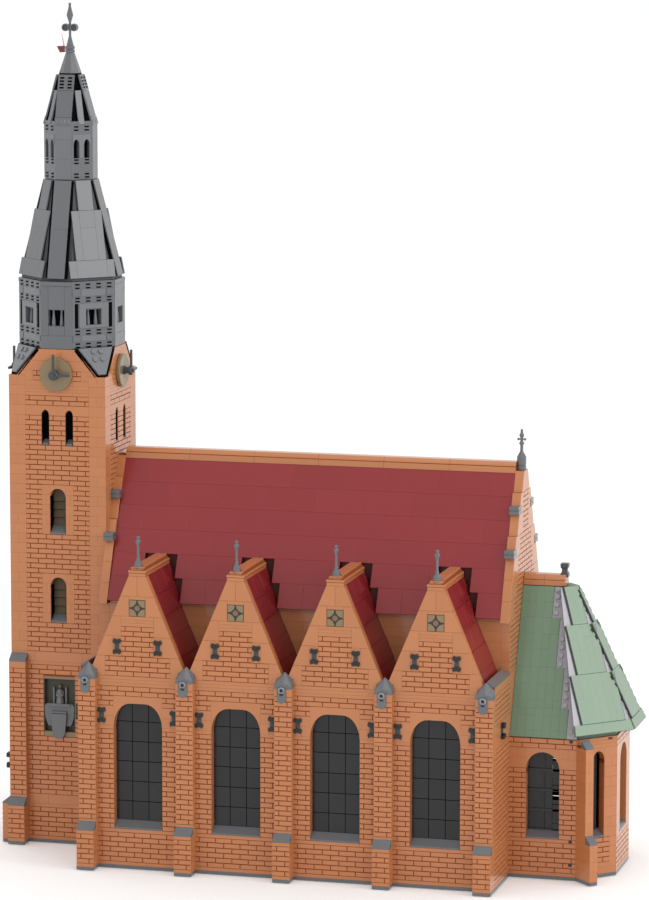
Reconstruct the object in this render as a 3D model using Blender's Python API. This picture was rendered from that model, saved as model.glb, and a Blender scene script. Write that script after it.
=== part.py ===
"""A display model of a brick-gothic church, built from small plastic building bricks.

Metres, +Z up. +X runs along the nave from the tower to the apse, and -Y is the side with the niche.
The origin is on the ground, in the middle of the model's bounding box. Almost every size is a whole
number of brick pitches (STUD, along the ground) or of plate heights (PLATE, upwards), as on the
real model.
"""
import math

import bmesh
import bpy
from mathutils import Matrix, Vector

# The brick system
STUD = 0.008
PLATE = 0.0032
GAP = 0.0003
WALL = 1 * STUD

# Nave and aisles
BAYS = 4
BAY = 12 * STUD
BUTTRESS = 2 * STUD
BUTTRESS_FOOT = 2 * STUD
BUTTRESS_SHAFT = 1 * STUD
AISLE = 8 * STUD
VESSEL = 16 * STUD
BASE = 1 * PLATE
FOOT_TOP = 12 * PLATE
FOOT_CAP = 2 * PLATE
SHAFT_TOP = 55 * PLATE
SHAFT_CAP = 5 * PLATE
AISLE_TOP = 58 * PLATE
END_WALL_TOP = 60.5 * PLATE
NECK = 0.5 * STUD

# Aisle windows and the small gables over them
AISLE_WINDOW = 6 * STUD
SILL = 12 * PLATE
AISLE_CROWN = 50 * PLATE
AISLE_ARCH_RUN = 2.1 * STUD
AISLE_ARCH_RISE = 7 * PLATE
GLASS_THICK = 0.0016
GABLE_RISE = 30 * PLATE
GABLE_HEAD = 2 * STUD
GABLE_RIDGE_SIDE = 1.4 * PLATE
GABLE_RIDGE = 2.6 * PLATE
GABLE_RIDGE_HEAD = 1.2 * STUD
GABLE_TENON = 1 * STUD
AISLE_ROOF_THICK = 1 * STUD
FINIAL = 8.5 * PLATE
FINIAL_FOOT_RADIUS = 0.45 * STUD
FINIAL_FOOT = 1 * PLATE
FINIAL_CONE_TOP = 2 * PLATE
FINIAL_NECK_RADIUS = 0.14 * STUD
FINIAL_BULB_RADIUS = 0.3 * STUD
FINIAL_BULB = 1.6 * PLATE
FINIAL_STEPS = 8

# Clerestory, main roof and main gables
CLERESTORY_FOOT = 55 * PLATE
EAVES = 77 * PLATE
ROOF_RISE = 40 * PLATE
ROOF_OVERHANG = 0.8 * STUD
ROOF_THICK = 2 * STUD
ROOF_SETBACK = 0.12 * STUD
RIDGE_WIDTH = 2 * STUD
RIDGE_SIDE = 2.1 * PLATE
RIDGE_TOP = 1.2 * PLATE
RIDGE_HEAD = 1.1 * STUD
NOTCH_STEP = 7 * PLATE
NOTCH_DEPTH = 0.35 * STUD
NOTCH_WIDTHS = (6 * STUD, 4 * STUD)
PARAPET_FOOT = 76 * PLATE
PARAPET_BRICK = 6 * PLATE
PARAPET_RUN = 1 * STUD
PARAPET_BRICKS = 7
KNEELER = 0.5 * STUD
KNEELER_AFTER = (2, 4)
EAST_FINIAL_RADIUS = 0.5 * STUD
EAST_FINIAL_BLOCK = 4 * PLATE
EAST_FINIAL_ROD_RADIUS = 0.16 * STUD
EAST_FINIAL = 12 * PLATE

# Chancel and apse
CHANCEL = 8 * STUD
APSE_CUT = 4 * STUD
CHANCEL_TOP = 42 * PLATE
CHANCEL_WINDOW = 4 * STUD
CHANCEL_CROWN = 38 * PLATE
LANCET = 1.6 * STUD
LANCET_PLACE = 3.1 * STUD
CHANCEL_ROOF_TOP = 84 * PLATE
CHANCEL_ROOF_HEAD = 2 * STUD
CHANCEL_ROOF_THICK = 0.75 * STUD
HIP_FOOT = 8.1 * STUD
HIP_HEAD = 4.6 * STUD
APSE_ROOF_LOW = 43.5 * PLATE
APSE_ROOF_FOOT = 13.8 * STUD
APSE_ROOF_HEAD = 6.2 * STUD
APSE_SLANT_FOOT = 17.3 * STUD
APSE_SLANT_HEAD = 6.3 * STUD
APSE_RIM = 1 * PLATE
APSE_SEAT_INSET = 0.1 * STUD
APSE_CROWN = 4 * PLATE
CHANCEL_RIDGE = 5.3 * STUD
CHANCEL_FINIAL = 3 * PLATE
APSE_BUTTRESS = 1 * STUD
APSE_FOOT_REACH = 3 * STUD
APSE_SHAFT_REACH = 2 * STUD
APSE_SHAFT_TOP = 38 * PLATE
APSE_SHAFT_CAP = 2.5 * PLATE

# Tower
TOWER = 12 * STUD
TOWER_SHOULDER = 143 * PLATE
TOWER_GABLE_RISE = 8 * PLATE
TOWER_GABLE_FOOT = 10 * STUD
TOWER_GABLE_HEAD = 4.66 * STUD
BELL_WINDOW = 2 * STUD
BELL_SILLS = (68 * PLATE, 95 * PLATE)
BELL_WINDOW_RISE = 14 * PLATE
TOP_LANCET = 1 * STUD
TOP_LANCET_SILL = 122 * PLATE
TOP_LANCET_RISE = 10.8 * PLATE
TOP_LANCET_SPACING = 3 * STUD
CORNER_SHAFT = 1 * STUD
CORNER_SHAFT_TOP = 56 * PLATE
CORNER_SHAFT_CAP = 2 * PLATE
CORNER_WEST_REACH = 1 * STUD
CORNER_WEST_LENGTH = 3 * STUD
DECK = 1 * PLATE
WING_THICK = 1.5 * PLATE
WING_LOW = 1 * PLATE
WING_TAIL = 0.3 * STUD

# The niche in the tower's south wall
NICHE = 4 * STUD
NICHE_FOOT = 33 * PLATE
NICHE_TOP = 51.5 * PLATE
NICHE_DEPTH = 0.6 * STUD
BRACKET_FOOT = 36 * PLATE
BRACKET_TOP = 43 * PLATE
BRACKET_FOOT_WIDTH = 1.8 * STUD
BRACKET_SLOPE = 4 * PLATE
BRACKET_PROUD = 0.5 * STUD
TONGUE = 2 * STUD
TONGUE_TOP = 41 * PLATE
TONGUE_PROUD = 1.2 * STUD
STATUE = 6 * PLATE
STATUE_RADIUS = 0.28 * STUD
STATUE_WAIST = (0.8, 0.5)
STATUE_SHOULDER = (0.95, 0.7)
STATUE_NECK = (0.4, 0.78)
STATUE_BROW = (0.6, 0.9)

# Clocks
CLOCK_RADIUS = 2.05 * STUD
CLOCK_HEIGHT = 143.5 * PLATE
CLOCK_THICK = 0.4 * STUD
CLOCK_HUB_RADIUS = 0.62 * STUD
CLOCK_HUB = 0.45 * STUD
CLOCK_HOUR_HAND = 2.1 * STUD
CLOCK_MINUTE_HAND = 2.6 * STUD
CLOCK_HAND_WIDTH = 0.35 * STUD
CLOCK_HAND_THICK = 0.25 * STUD

# Lantern drum, skirt, upper lantern and spire, all eight-sided
DRUM_FACE = 4 * STUD
DRUM_TOP = 171.3 * PLATE
DRUM_WINDOW = 2 * STUD
DRUM_SILL = 158 * PLATE
DRUM_WINDOW_RISE = 4.8 * PLATE
SKIRT_FOOT = 172.2 * PLATE
SKIRT_TOP = 201 * PLATE
SKIRT_FOOT_RADIUS = 6.35 * STUD
SKIRT_TOP_RADIUS = 3.25 * STUD
SKIRT_THICK = 0.9 * STUD
SKIRT_SEAT_INSET = 0.25 * STUD
LANTERN_RADIUS = 3 * STUD
LANTERN_FACE = 2 * STUD
LANTERN_TOP = 218.5 * PLATE
LANTERN_WALL = 0.7 * STUD
LANTERN_WINDOW = 0.7 * STUD
LANTERN_SPACING = 1.4 * STUD
LANTERN_SILL = 207.5 * PLATE
LANTERN_WINDOW_RISE = 5.5 * PLATE
SPIRE_TOP = 232.5 * PLATE
SPIRE_FOOT_RADIUS = 3.05 * STUD
SPIRE_TOP_RADIUS = 1.45 * STUD
SPIRE_TOP_FACE = 1.6 * STUD
SPIRE_THICK = 0.6 * STUD

# Tip of the spire
CONE_TOP = 238.5 * PLATE
CONE_FOOT_RADIUS = 1.25 * STUD
CONE_TOP_RADIUS = 0.5 * STUD
COLLAR_TOP = 240.6 * PLATE
TIP_CONE_TOP = 243.5 * PLATE
STEM_RADIUS = 0.16 * STUD
DISC_HEIGHT = 246.1 * PLATE
DISC_RADIUS = 0.45 * STUD
DISC_THICK = 0.4 * STUD
SPEAR_FOOT = 247.7 * PLATE
SPEAR_WIDEST = 249.7 * PLATE
SPEAR_RADIUS = 0.42 * STUD
TIP = 253.4 * PLATE
VANE_HEIGHT = 239.2 * PLATE
VANE_LENGTH = 1.1 * STUD
VANE_RISE = 1.7 * PLATE
VANE_THICK = 0.3 * STUD

# Places along the nave, measured from its west face, and across it from the south aisle's face
NAVE = BAYS * BAY + BUTTRESS
WIDTH = VESSEL + 2 * AISLE
CENTRE_LINE = WIDTH / 2
TOWER_SOUTH = CENTRE_LINE - TOWER / 2
TOWER_NORTH = CENTRE_LINE + TOWER / 2
TOWER_EAST = -GAP
TOWER_WEST = TOWER_EAST - TOWER
TOWER_MIDDLE = TOWER_EAST - TOWER / 2
CHANCEL_WEST = NAVE + GAP
CHANCEL_EAST = CHANCEL_WEST + CHANCEL
MIDDLE = (TOWER_WEST - CORNER_WEST_REACH + CHANCEL_WEST + APSE_ROOF_FOOT) / 2
GABLE_TOP = AISLE_TOP + GABLE_RISE
DIAGONAL = math.sqrt(0.5)
HALF_TURN = math.pi
QUARTER_TURN = math.pi / 2
EIGHTH_TURN = math.pi / 4
MITRE = EIGHTH_TURN / 2
ARCH_STEPS = 6
TURNED_STEPS = 10
DIAL_SEGMENTS = 24
DISC_SEGMENTS = 12

MATERIALS = {
    "clay_brick": ((0.58, 0.24, 0.11), 0.42),
    "slate_grey": ((0.12, 0.125, 0.13), 0.4),
    "dark_red": ((0.23, 0.035, 0.04), 0.38),
    "pale_green": ((0.16, 0.26, 0.17), 0.4),
    "olive_tan": ((0.24, 0.19, 0.11), 0.45),
    "smoke_glass": ((0.02, 0.02, 0.022), 0.15),
}


def clear_scene():
    for obj in list(bpy.data.objects):
        bpy.data.objects.remove(obj, do_unlink=True)


def make_materials():
    made = {}
    for name, (colour, roughness) in MATERIALS.items():
        material = bpy.data.materials.new(name)
        material.use_nodes = True
        shader = material.node_tree.nodes["Principled BSDF"]
        shader.inputs["Base Color"].default_value = (*colour, 1)
        shader.inputs["Roughness"].default_value = roughness
        shader.inputs["Metallic"].default_value = 0
        made[name] = material
    return made


def make_object(name, bm, material):
    """An object from a bmesh, with its faces turned outwards."""
    bmesh.ops.recalc_face_normals(bm, faces=bm.faces)
    mesh = bpy.data.meshes.new(name)
    bm.to_mesh(mesh)
    bm.free()
    mesh.materials.append(material)
    obj = bpy.data.objects.new(name, mesh)
    bpy.context.scene.collection.objects.link(obj)
    return obj


def combine(target, other, operation):
    """Cut a helper from a piece, or join it on. The helper stays with the piece."""
    other.hide_render = True
    other.display_type = "WIRE"
    other.parent = target
    modifier = target.modifiers.new(other.name, "BOOLEAN")
    modifier.operation = operation
    modifier.object = other


def cut(target, name, bm):
    combine(target, make_object(name, bm, target.data.materials[0]), "DIFFERENCE")


def join(target, name, bm):
    combine(target, make_object(name, bm, target.data.materials[0]), "UNION")


def twin(name, source):
    """A second piece with the same mesh and the same helpers."""
    obj = bpy.data.objects.new(name, source.data)
    bpy.context.scene.collection.objects.link(obj)
    for modifier in source.modifiers:
        helper = bpy.data.objects.new(modifier.object.name, modifier.object.data)
        bpy.context.scene.collection.objects.link(helper)
        combine(obj, helper, modifier.operation)
    return obj


def place(obj, x, y, turn=0.0):
    """Put a piece at x along the nave and y from the south face, turned about the vertical."""
    obj.location = (x - MIDDLE, y - CENTRE_LINE, 0)
    obj.rotation_euler = (0, 0, turn)
    return obj


def extrude(points, offset, bm=None):
    """A prism: a face through the points, extruded by the offset."""
    bm = bmesh.new() if bm is None else bm
    face = bm.faces.new([bm.verts.new(p) for p in points])
    made = bmesh.ops.extrude_face_region(bm, geom=[face])
    verts = [v for v in made["geom"] if isinstance(v, bmesh.types.BMVert)]
    bmesh.ops.translate(bm, verts=verts, vec=offset)
    return bm


def upright(outline, front, back, bm=None):
    """A wall from its outline of (along, up) points, between its front and back faces."""
    return extrude([(s, front, z) for s, z in outline], (0, back - front, 0), bm)


def crosswise(section, start, end):
    """A bar along X from its section of (across, up) points."""
    return extrude([(start, y, z) for y, z in section], (end - start, 0, 0))


def slab(plan, foot, top):
    """An upright prism from its plan."""
    return extrude([(x, y, foot) for x, y in plan], (0, 0, top - foot))


def rectangle(left, right, foot, top):
    return [(left, foot), (right, foot), (right, top), (left, top)]


def disc(radius, thick, x, front, height, segments):
    """A round plate that faces -Y, its front face at the given place."""
    bm = bmesh.new()
    bmesh.ops.create_cone(bm, cap_ends=True, segments=segments, radius1=radius, radius2=radius, depth=thick)
    turn = Matrix.Rotation(QUARTER_TURN, 4, "X")
    shift = Matrix.Translation((x, front + thick / 2, height))
    bmesh.ops.transform(bm, matrix=shift @ turn, verts=bm.verts)
    return bm


def turned(profile, steps):
    """A turned solid from (radius, height) points, its ends on the axis."""
    bm = bmesh.new()
    verts = [bm.verts.new((r, 0, z)) for r, z in profile]
    edges = [bm.edges.new((verts[i], verts[i + 1])) for i in range(len(verts) - 1)]
    bmesh.ops.spin(bm, geom=verts + edges, cent=(0, 0, 0), axis=(0, 0, 1), angle=2 * math.pi,
                   steps=steps, use_merge=True)
    bmesh.ops.remove_doubles(bm, verts=bm.verts, dist=GAP / 10)
    return bm


def bridge(lower, upper):
    """A closed solid between two rings of as many points."""
    bm = bmesh.new()
    edges = []
    for ring in (lower, upper):
        verts = [bm.verts.new(p) for p in ring]
        edges += [bm.edges.new((verts[i], verts[i - 1])) for i in range(len(verts))]
        bm.faces.new(verts)
    bmesh.ops.bridge_loops(bm, edges=edges)
    return bm


def arch(middle, width, foot, crown, run=None, rise=None):
    """An opening's outline, its top corners two quarter ellipses."""
    half = width / 2
    run = half if run is None else min(run, half)
    rise = run if rise is None else rise
    points = [(middle - half, foot), (middle + half, foot)]
    turns = [QUARTER_TURN * i / ARCH_STEPS for i in range(ARCH_STEPS + 1)]
    points += [(middle + half - run * (1 - math.cos(a)), crown - rise * (1 - math.sin(a))) for a in turns]
    left = [(middle - half + run * (1 - math.cos(a)), crown - rise * (1 - math.sin(a))) for a in turns]
    if run == half:
        left.pop()
    return points + left[::-1]


def cut_windows(wall, outlines):
    """Cut openings through a wall, past both of its faces."""
    bm = bmesh.new()
    for outline in outlines:
        upright(outline, -WALL, 2 * WALL, bm)
    cut(wall, wall.name + "_windows", bm)


def octagon(radius, face=None):
    """The corners of an octagon: radius to its four main sides, each face wide."""
    half = radius * math.tan(MITRE) if face is None else face / 2
    return [(-half, -radius), (half, -radius), (radius, -half), (radius, half),
            (half, radius), (-half, radius), (-radius, half), (-radius, -half)]


def at_height(points, z):
    return [(x, y, z) for x, y in points]


def hollow_octagon(name, low, foot, high, top, wall, material):
    """An eight-sided tube or hood, open below and above, between two rings of (radius, face)."""
    outer = bridge(at_height(octagon(*low), foot), at_height(octagon(*high), top))
    hood = make_object(name, outer, material)
    share = STUD / (top - foot)
    run_out = (low[0] - high[0]) * share
    spread = (low[1] - high[1]) * share
    narrower = 2 * wall * math.tan(MITRE)
    lower = octagon(low[0] + run_out - wall, low[1] + spread - narrower)
    upper = octagon(high[0] - run_out - wall, high[1] - spread - narrower)
    cut(hood, name + "_hollow", bridge(at_height(lower, foot - STUD), at_height(upper, top + STUD)))
    return hood


def cut_ring_windows(hood, name, radius, width, sill, rise, first, middle=0):
    """Cut four openings, a quarter turn apart, in the sides of an eight-sided ring."""
    left = middle - width / 2
    right = middle + width / 2
    bm = bmesh.new()
    for quarter in range(4):
        turn = Matrix.Rotation(first + quarter * QUARTER_TURN, 3, "Z")
        corners = [(s, -radius - STUD, z) for s, z in rectangle(left, right, sill, sill + rise)]
        extrude([turn @ Vector(p) for p in corners], turn @ Vector((0, radius / 2 + STUD, 0)), bm)
    cut(hood, name, bm)


def base_outline():
    """The plan of the lowest plates: the walls' outer faces and the feet of the buttresses."""
    corner_end = TOWER_SOUTH + CORNER_WEST_LENGTH - CORNER_SHAFT
    west = TOWER_WEST - CORNER_WEST_REACH
    south = [(TOWER_WEST, CENTRE_LINE), (TOWER_WEST, corner_end), (west, corner_end),
             (west, TOWER_SOUTH - CORNER_SHAFT),
             (TOWER_WEST, TOWER_SOUTH - CORNER_SHAFT), (TOWER_WEST, TOWER_SOUTH - BUTTRESS_FOOT),
             (TOWER_WEST + BUTTRESS, TOWER_SOUTH - BUTTRESS_FOOT), (TOWER_WEST + BUTTRESS, TOWER_SOUTH),
             (0, TOWER_SOUTH)]
    for bay in range(BAYS + 1):
        left = bay * BAY
        right = left + BUTTRESS
        south += [(left, 0)] if bay else []
        south += [(left, -BUTTRESS_FOOT), (right, -BUTTRESS_FOOT)]
        south += [(right, 0)] if bay < BAYS else []
    south += [(NAVE, AISLE), (CHANCEL_EAST, AISLE)]
    reach = APSE_FOOT_REACH * DIAGONAL
    thick = APSE_BUTTRESS * DIAGONAL
    south += [(CHANCEL_EAST + reach, AISLE - reach), (CHANCEL_EAST + reach + thick, AISLE - reach + thick),
              (CHANCEL_EAST + thick, AISLE + thick), (CHANCEL_EAST + APSE_CUT, AISLE + APSE_CUT)]
    return south + [(x, WIDTH - y) for x, y in reversed(south) if y != CENTRE_LINE]


def make_base(materials):
    place(make_object("base_plate", slab(base_outline(), 0, BASE), materials["slate_grey"]), 0, 0)


def buttress_side():
    """An aisle buttress seen from its side, in front of the wall: a foot and a shaft, both capped."""
    return [(-GAP, BASE + GAP), (-BUTTRESS_FOOT, BASE + GAP), (-BUTTRESS_FOOT, FOOT_TOP),
            (-BUTTRESS_SHAFT, FOOT_TOP + FOOT_CAP), (-BUTTRESS_SHAFT, SHAFT_TOP),
            (-GAP, SHAFT_TOP + SHAFT_CAP)]


def make_bay(name, material, last):
    """An aisle bay: the wall, its window, its gable with a ridge, and the buttress on its left."""
    foot = BASE + GAP
    left = WALL + GAP / 2
    right = WALL + BAY - GAP / 2
    apex = WALL + BAY / 2
    half = GABLE_HEAD / 2
    tenon = GABLE_TENON / 2
    outline = [(left, foot), (right, foot), (right, AISLE_TOP), (apex + half, GABLE_TOP),
               (apex + tenon, GABLE_TOP), (apex + tenon, GABLE_TOP + GABLE_RIDGE_SIDE / 2),
               (apex - tenon, GABLE_TOP + GABLE_RIDGE_SIDE / 2), (apex - tenon, GABLE_TOP),
               (apex - half, GABLE_TOP), (left, AISLE_TOP)]
    bay = make_object(name, upright(outline, 0, WALL), material)
    cut_windows(bay, [arch(apex, AISLE_WINDOW, SILL, AISLE_CROWN, AISLE_ARCH_RUN, AISLE_ARCH_RISE)])
    for number, start in enumerate((0, BAY) if last else (0,)):
        join(bay, name + "_buttress_" + str(number), crosswise(buttress_side(), start, start + BUTTRESS))
        seat = (left, BUTTRESS) if number == 0 else (BAY, right)
        neck = rectangle(-NECK, NECK, foot, SHAFT_TOP)
        join(bay, name + "_neck_" + str(number), crosswise(neck, seat[0] + GAP, seat[1] - GAP))
    ridge_foot = GABLE_TOP + GAP
    head = GABLE_RIDGE_HEAD / 2
    ridge_top = GABLE_TOP + GABLE_RIDGE
    section = [(apex - half, ridge_foot), (apex + half, ridge_foot),
               (apex + half, GABLE_TOP + GABLE_RIDGE_SIDE), (apex + head, ridge_top),
               (apex - head, ridge_top), (apex - half, GABLE_TOP + GABLE_RIDGE_SIDE)]
    length = CENTRE_LINE - roof_plane(ridge_top) - GAP
    join(bay, name + "_ridge", upright(section, -GAP, length))
    bulb = ridge_top + FINIAL - FINIAL_BULB
    profile = [(0, ridge_top - PLATE), (FINIAL_FOOT_RADIUS, ridge_top - PLATE),
               (FINIAL_FOOT_RADIUS, ridge_top + FINIAL_FOOT),
               (FINIAL_NECK_RADIUS, ridge_top + FINIAL_CONE_TOP), (FINIAL_NECK_RADIUS, bulb),
               (FINIAL_BULB_RADIUS, bulb + FINIAL_BULB / 2), (0, bulb + FINIAL_BULB)]
    finial = turned(profile, FINIAL_STEPS)
    bmesh.ops.translate(finial, verts=finial.verts, vec=(apex, WALL / 2, 0))
    join(bay, name + "_finial", finial)
    return bay


def make_aisles(materials):
    brick = materials["clay_brick"]
    for bay in range(BAYS):
        last = bay == BAYS - 1
        place(make_bay("aisle_bay_south_" + str(bay + 1), brick, last), bay * BAY, 0)
        north = make_bay("aisle_bay_north_" + str(BAYS - bay), brick, last)
        place(north, NAVE - bay * BAY, WIDTH, HALF_TURN)
    sheet = rectangle(WALL + GAP, NAVE - WALL - GAP, BASE + GAP, AISLE_CROWN + PLATE)
    bm = upright(sheet, WALL + GAP, WALL + GAP + GLASS_THICK)
    glass = make_object("aisle_glazing_south", bm, materials["smoke_glass"])
    place(glass, 0, 0)
    place(twin("aisle_glazing_north", glass), NAVE, WIDTH, HALF_TURN)


def parapet_half():
    """Half of a main gable's top edge, from the foot up: (distance from the middle, height)."""
    across = RIDGE_WIDTH / 2
    height = PARAPET_FOOT + PARAPET_BRICKS * PARAPET_BRICK
    points = [(across, height)]
    for brick in range(1, PARAPET_BRICKS + 1):
        across += PARAPET_RUN
        height -= PARAPET_BRICK
        points.append((across, height))
        if brick in KNEELER_AFTER:
            across += KNEELER
            points.append((across, height))
    return points[::-1]


def make_end_walls(materials):
    """The east and west walls of the nave and both aisles, each with its gable."""
    rising = [(GAP, END_WALL_TOP), (AISLE, END_WALL_TOP), (AISLE, PARAPET_FOOT)]
    rising += [(CENTRE_LINE - across, z) for across, z in parapet_half()]
    outline = [(GAP, BASE + GAP), (WIDTH - GAP, BASE + GAP)]
    outline += [(WIDTH - s, z) for s, z in rising] + rising[::-1]
    wall = make_object("nave_wall_east", upright(outline, 0, WALL), materials["clay_brick"])
    place(wall, NAVE, 0, QUARTER_TURN)
    place(twin("nave_wall_west", wall), 0, WIDTH, -QUARTER_TURN)
    foot = parapet_half()[-1][1] + GAP
    top = foot + EAST_FINIAL
    block = foot + EAST_FINIAL_BLOCK
    profile = [(0, foot), (EAST_FINIAL_RADIUS, foot), (EAST_FINIAL_RADIUS, block),
               (EAST_FINIAL_ROD_RADIUS, block + PLATE), (EAST_FINIAL_ROD_RADIUS, top - PLATE), (0, top)]
    finial = make_object("east_gable_finial", turned(profile, TURNED_STEPS), materials["slate_grey"])
    place(finial, NAVE - WALL / 2, CENTRE_LINE)


def make_clerestory(materials):
    outline = rectangle(WALL + GAP, NAVE - WALL - GAP, CLERESTORY_FOOT, EAVES - GAP)
    wall = make_object("clerestory_wall_south", upright(outline, 0, WALL), materials["clay_brick"])
    place(wall, 0, AISLE)
    place(twin("clerestory_wall_north", wall), NAVE, WIDTH - AISLE, HALF_TURN)


def roof_plane(height):
    """How far the main roof's upper face lies from the centre line at a height."""
    eave = VESSEL / 2 + ROOF_OVERHANG
    head = RIDGE_WIDTH / 2 + ROOF_SETBACK
    return eave - (eave - head) * (height - EAVES) / ROOF_RISE


def notch_back(step):
    """How far in from the south face a step of a notch reaches."""
    return CENTRE_LINE - roof_plane(EAVES + (step + 1) * NOTCH_STEP) + NOTCH_DEPTH


def ridge_section(foot, middle):
    """A ridge of the main roofs: upright sides and a narrower lit top."""
    half = RIDGE_WIDTH / 2
    head = RIDGE_HEAD / 2
    side = foot + RIDGE_SIDE
    top = side + RIDGE_TOP
    section = [(-half, foot), (half, foot), (half, side), (head, top), (-head, top), (-half, side)]
    return [(middle + y, z) for y, z in section]


def make_main_roof(materials):
    """Two slopes with stepped notches, where the small roofs run into them, and the ridge."""
    start = WALL + GAP
    end = NAVE - WALL - GAP
    top = EAVES + ROOF_RISE
    eave = roof_plane(EAVES)
    head = roof_plane(top)
    inner_top = EAVES + ROOF_RISE * (eave - ROOF_THICK - GAP) / (eave - head)
    slope = [(eave, EAVES), (head, top), (GAP, top), (GAP, inner_top), (eave - ROOF_THICK, EAVES)]
    bm = crosswise([(CENTRE_LINE - across, z) for across, z in slope], start, end)
    roof = make_object("main_roof_south", bm, materials["dark_red"])
    for step, width in enumerate(NOTCH_WIDTHS):
        bm = bmesh.new()
        for bay in range(BAYS):
            x = WALL + (bay + 0.5) * BAY
            notch = rectangle(x - width / 2, x + width / 2, EAVES - PLATE, EAVES + (step + 1) * NOTCH_STEP)
            upright(notch, 0, notch_back(step), bm)
        cut(roof, "main_roof_notches_" + str(step), bm)
    place(roof, 0, 0)
    place(twin("main_roof_north", roof), NAVE, WIDTH, HALF_TURN)
    bm = crosswise(ridge_section(top + GAP, CENTRE_LINE), start, end)
    place(make_object("main_roof_ridge", bm, materials["clay_brick"]), 0, 0)


def make_aisle_roofs(materials):
    """The small roofs behind the gables, one folded shell a side, as far as the main roof."""
    half = GABLE_HEAD / 2
    drop = AISLE_ROOF_THICK * GABLE_RISE / (BAY / 2 - half)
    upper = []
    for bay in range(BAYS):
        x = WALL + (bay + 0.5) * BAY
        upper += [(x - BAY / 2, AISLE_TOP), (x - half, GABLE_TOP), (x + half, GABLE_TOP)]
    start = WALL + GAP
    end = NAVE - WALL - GAP
    upper[0] = (start, AISLE_TOP)
    upper.append((end, AISLE_TOP))
    outline = upper + [(s, z - drop) for s, z in reversed(upper)]
    low_back = notch_back(0) - GAP
    bm = upright(outline, WALL + GAP, notch_back(1) - GAP)
    roof = make_object("aisle_roof_south", bm, materials["dark_red"])
    behind = CENTRE_LINE
    below = AISLE_TOP - 2 * drop
    step = EAVES + NOTCH_STEP + GAP
    beyond = [(AISLE - GAP, below), (behind, below), (behind, step), (low_back, step),
              (low_back, EAVES + GAP), (AISLE - GAP, EAVES + GAP)]
    cut(roof, "aisle_roof_trim", crosswise(beyond, 0, NAVE))
    place(roof, 0, 0)
    place(twin("aisle_roof_north", roof), NAVE, WIDTH, HALF_TURN)


def wall_run(name, length, top, start_mitre, end_mitre, window, material):
    """A straight wall with mitred ends and one window."""
    half = GAP / 2
    plan = [(half, 0), (length - half, 0), (length - half - WALL * math.tan(end_mitre), WALL),
            (half + WALL * math.tan(start_mitre), WALL)]
    wall = make_object(name, slab(plan, BASE + GAP, top), material)
    cut_windows(wall, [window])
    return wall


def make_chancel(materials):
    """The chancel's two walls, the apse's three, and the thin buttresses at its corners."""
    brick = materials["clay_brick"]
    window = arch(CHANCEL / 2, CHANCEL_WINDOW, SILL, CHANCEL_CROWN)
    south = wall_run("chancel_wall_south", CHANCEL, CHANCEL_TOP, 0, MITRE, window, brick)
    place(south, CHANCEL_WEST, AISLE)
    north = wall_run("chancel_wall_north", CHANCEL, CHANCEL_TOP, MITRE, 0, window, brick)
    place(north, CHANCEL_EAST, WIDTH - AISLE, HALF_TURN)
    slant = APSE_CUT / DIAGONAL
    end = VESSEL - 2 * APSE_CUT
    apse_east = CHANCEL_EAST + APSE_CUT
    first = AISLE + APSE_CUT
    last = WIDTH - AISLE - APSE_CUT
    reach = [(-GAP, BASE + GAP), (-APSE_FOOT_REACH, BASE + GAP), (-APSE_FOOT_REACH, FOOT_TOP),
             (-APSE_SHAFT_REACH, FOOT_TOP + FOOT_CAP), (-APSE_SHAFT_REACH, APSE_SHAFT_TOP),
             (-GAP, APSE_SHAFT_TOP + APSE_SHAFT_CAP)]
    for side, length, middle, x, y, turn in (
            ("southeast", slant, LANCET_PLACE, CHANCEL_EAST, AISLE, EIGHTH_TURN),
            ("east", end, end / 2, apse_east, first, QUARTER_TURN),
            ("northeast", slant, slant - LANCET_PLACE, apse_east, last, 3 * EIGHTH_TURN)):
        width = CHANCEL_WINDOW if side == "east" else LANCET
        opening = arch(middle, width, SILL, CHANCEL_CROWN)
        wall = wall_run("apse_wall_" + side, length, CHANCEL_TOP, MITRE, MITRE, opening, brick)
        place(wall, x, y, turn)
        if side != "east":
            start = 0 if side == "southeast" else length - APSE_BUTTRESS
            bm = crosswise(reach, start, start + APSE_BUTTRESS)
            buttress = make_object("apse_buttress_" + side, bm, brick)
            place(buttress, x, y, turn)


def apse_ring(height, inset, west):
    """A level ring of the apse roof's three faces, moved in by an inset, closed on its west side."""
    share = (height - APSE_ROOF_LOW) / (CHANCEL_ROOF_TOP - APSE_ROOF_LOW)
    east = APSE_ROOF_FOOT + (APSE_ROOF_HEAD - APSE_ROOF_FOOT) * share - inset
    slant = APSE_SLANT_FOOT + (APSE_SLANT_HEAD - APSE_SLANT_FOOT) * share - inset / DIAGONAL
    return at_height(apse_plan(west, east, slant), height)


def apse_plan(west, east, slant):
    """An apse's plan. Along its slanting sides the distances along and across add up to slant."""
    south = [(west, west - slant), (east, east - slant)]
    return south + [(x, -y) for x, y in reversed(south)]


def hip(height):
    """Where the chancel's slopes meet the apse roof: along the nave, from the chancel's west end."""
    return HIP_FOOT + (HIP_HEAD - HIP_FOOT) * (height - CHANCEL_TOP) / (CHANCEL_ROOF_TOP - CHANCEL_TOP)


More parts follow.
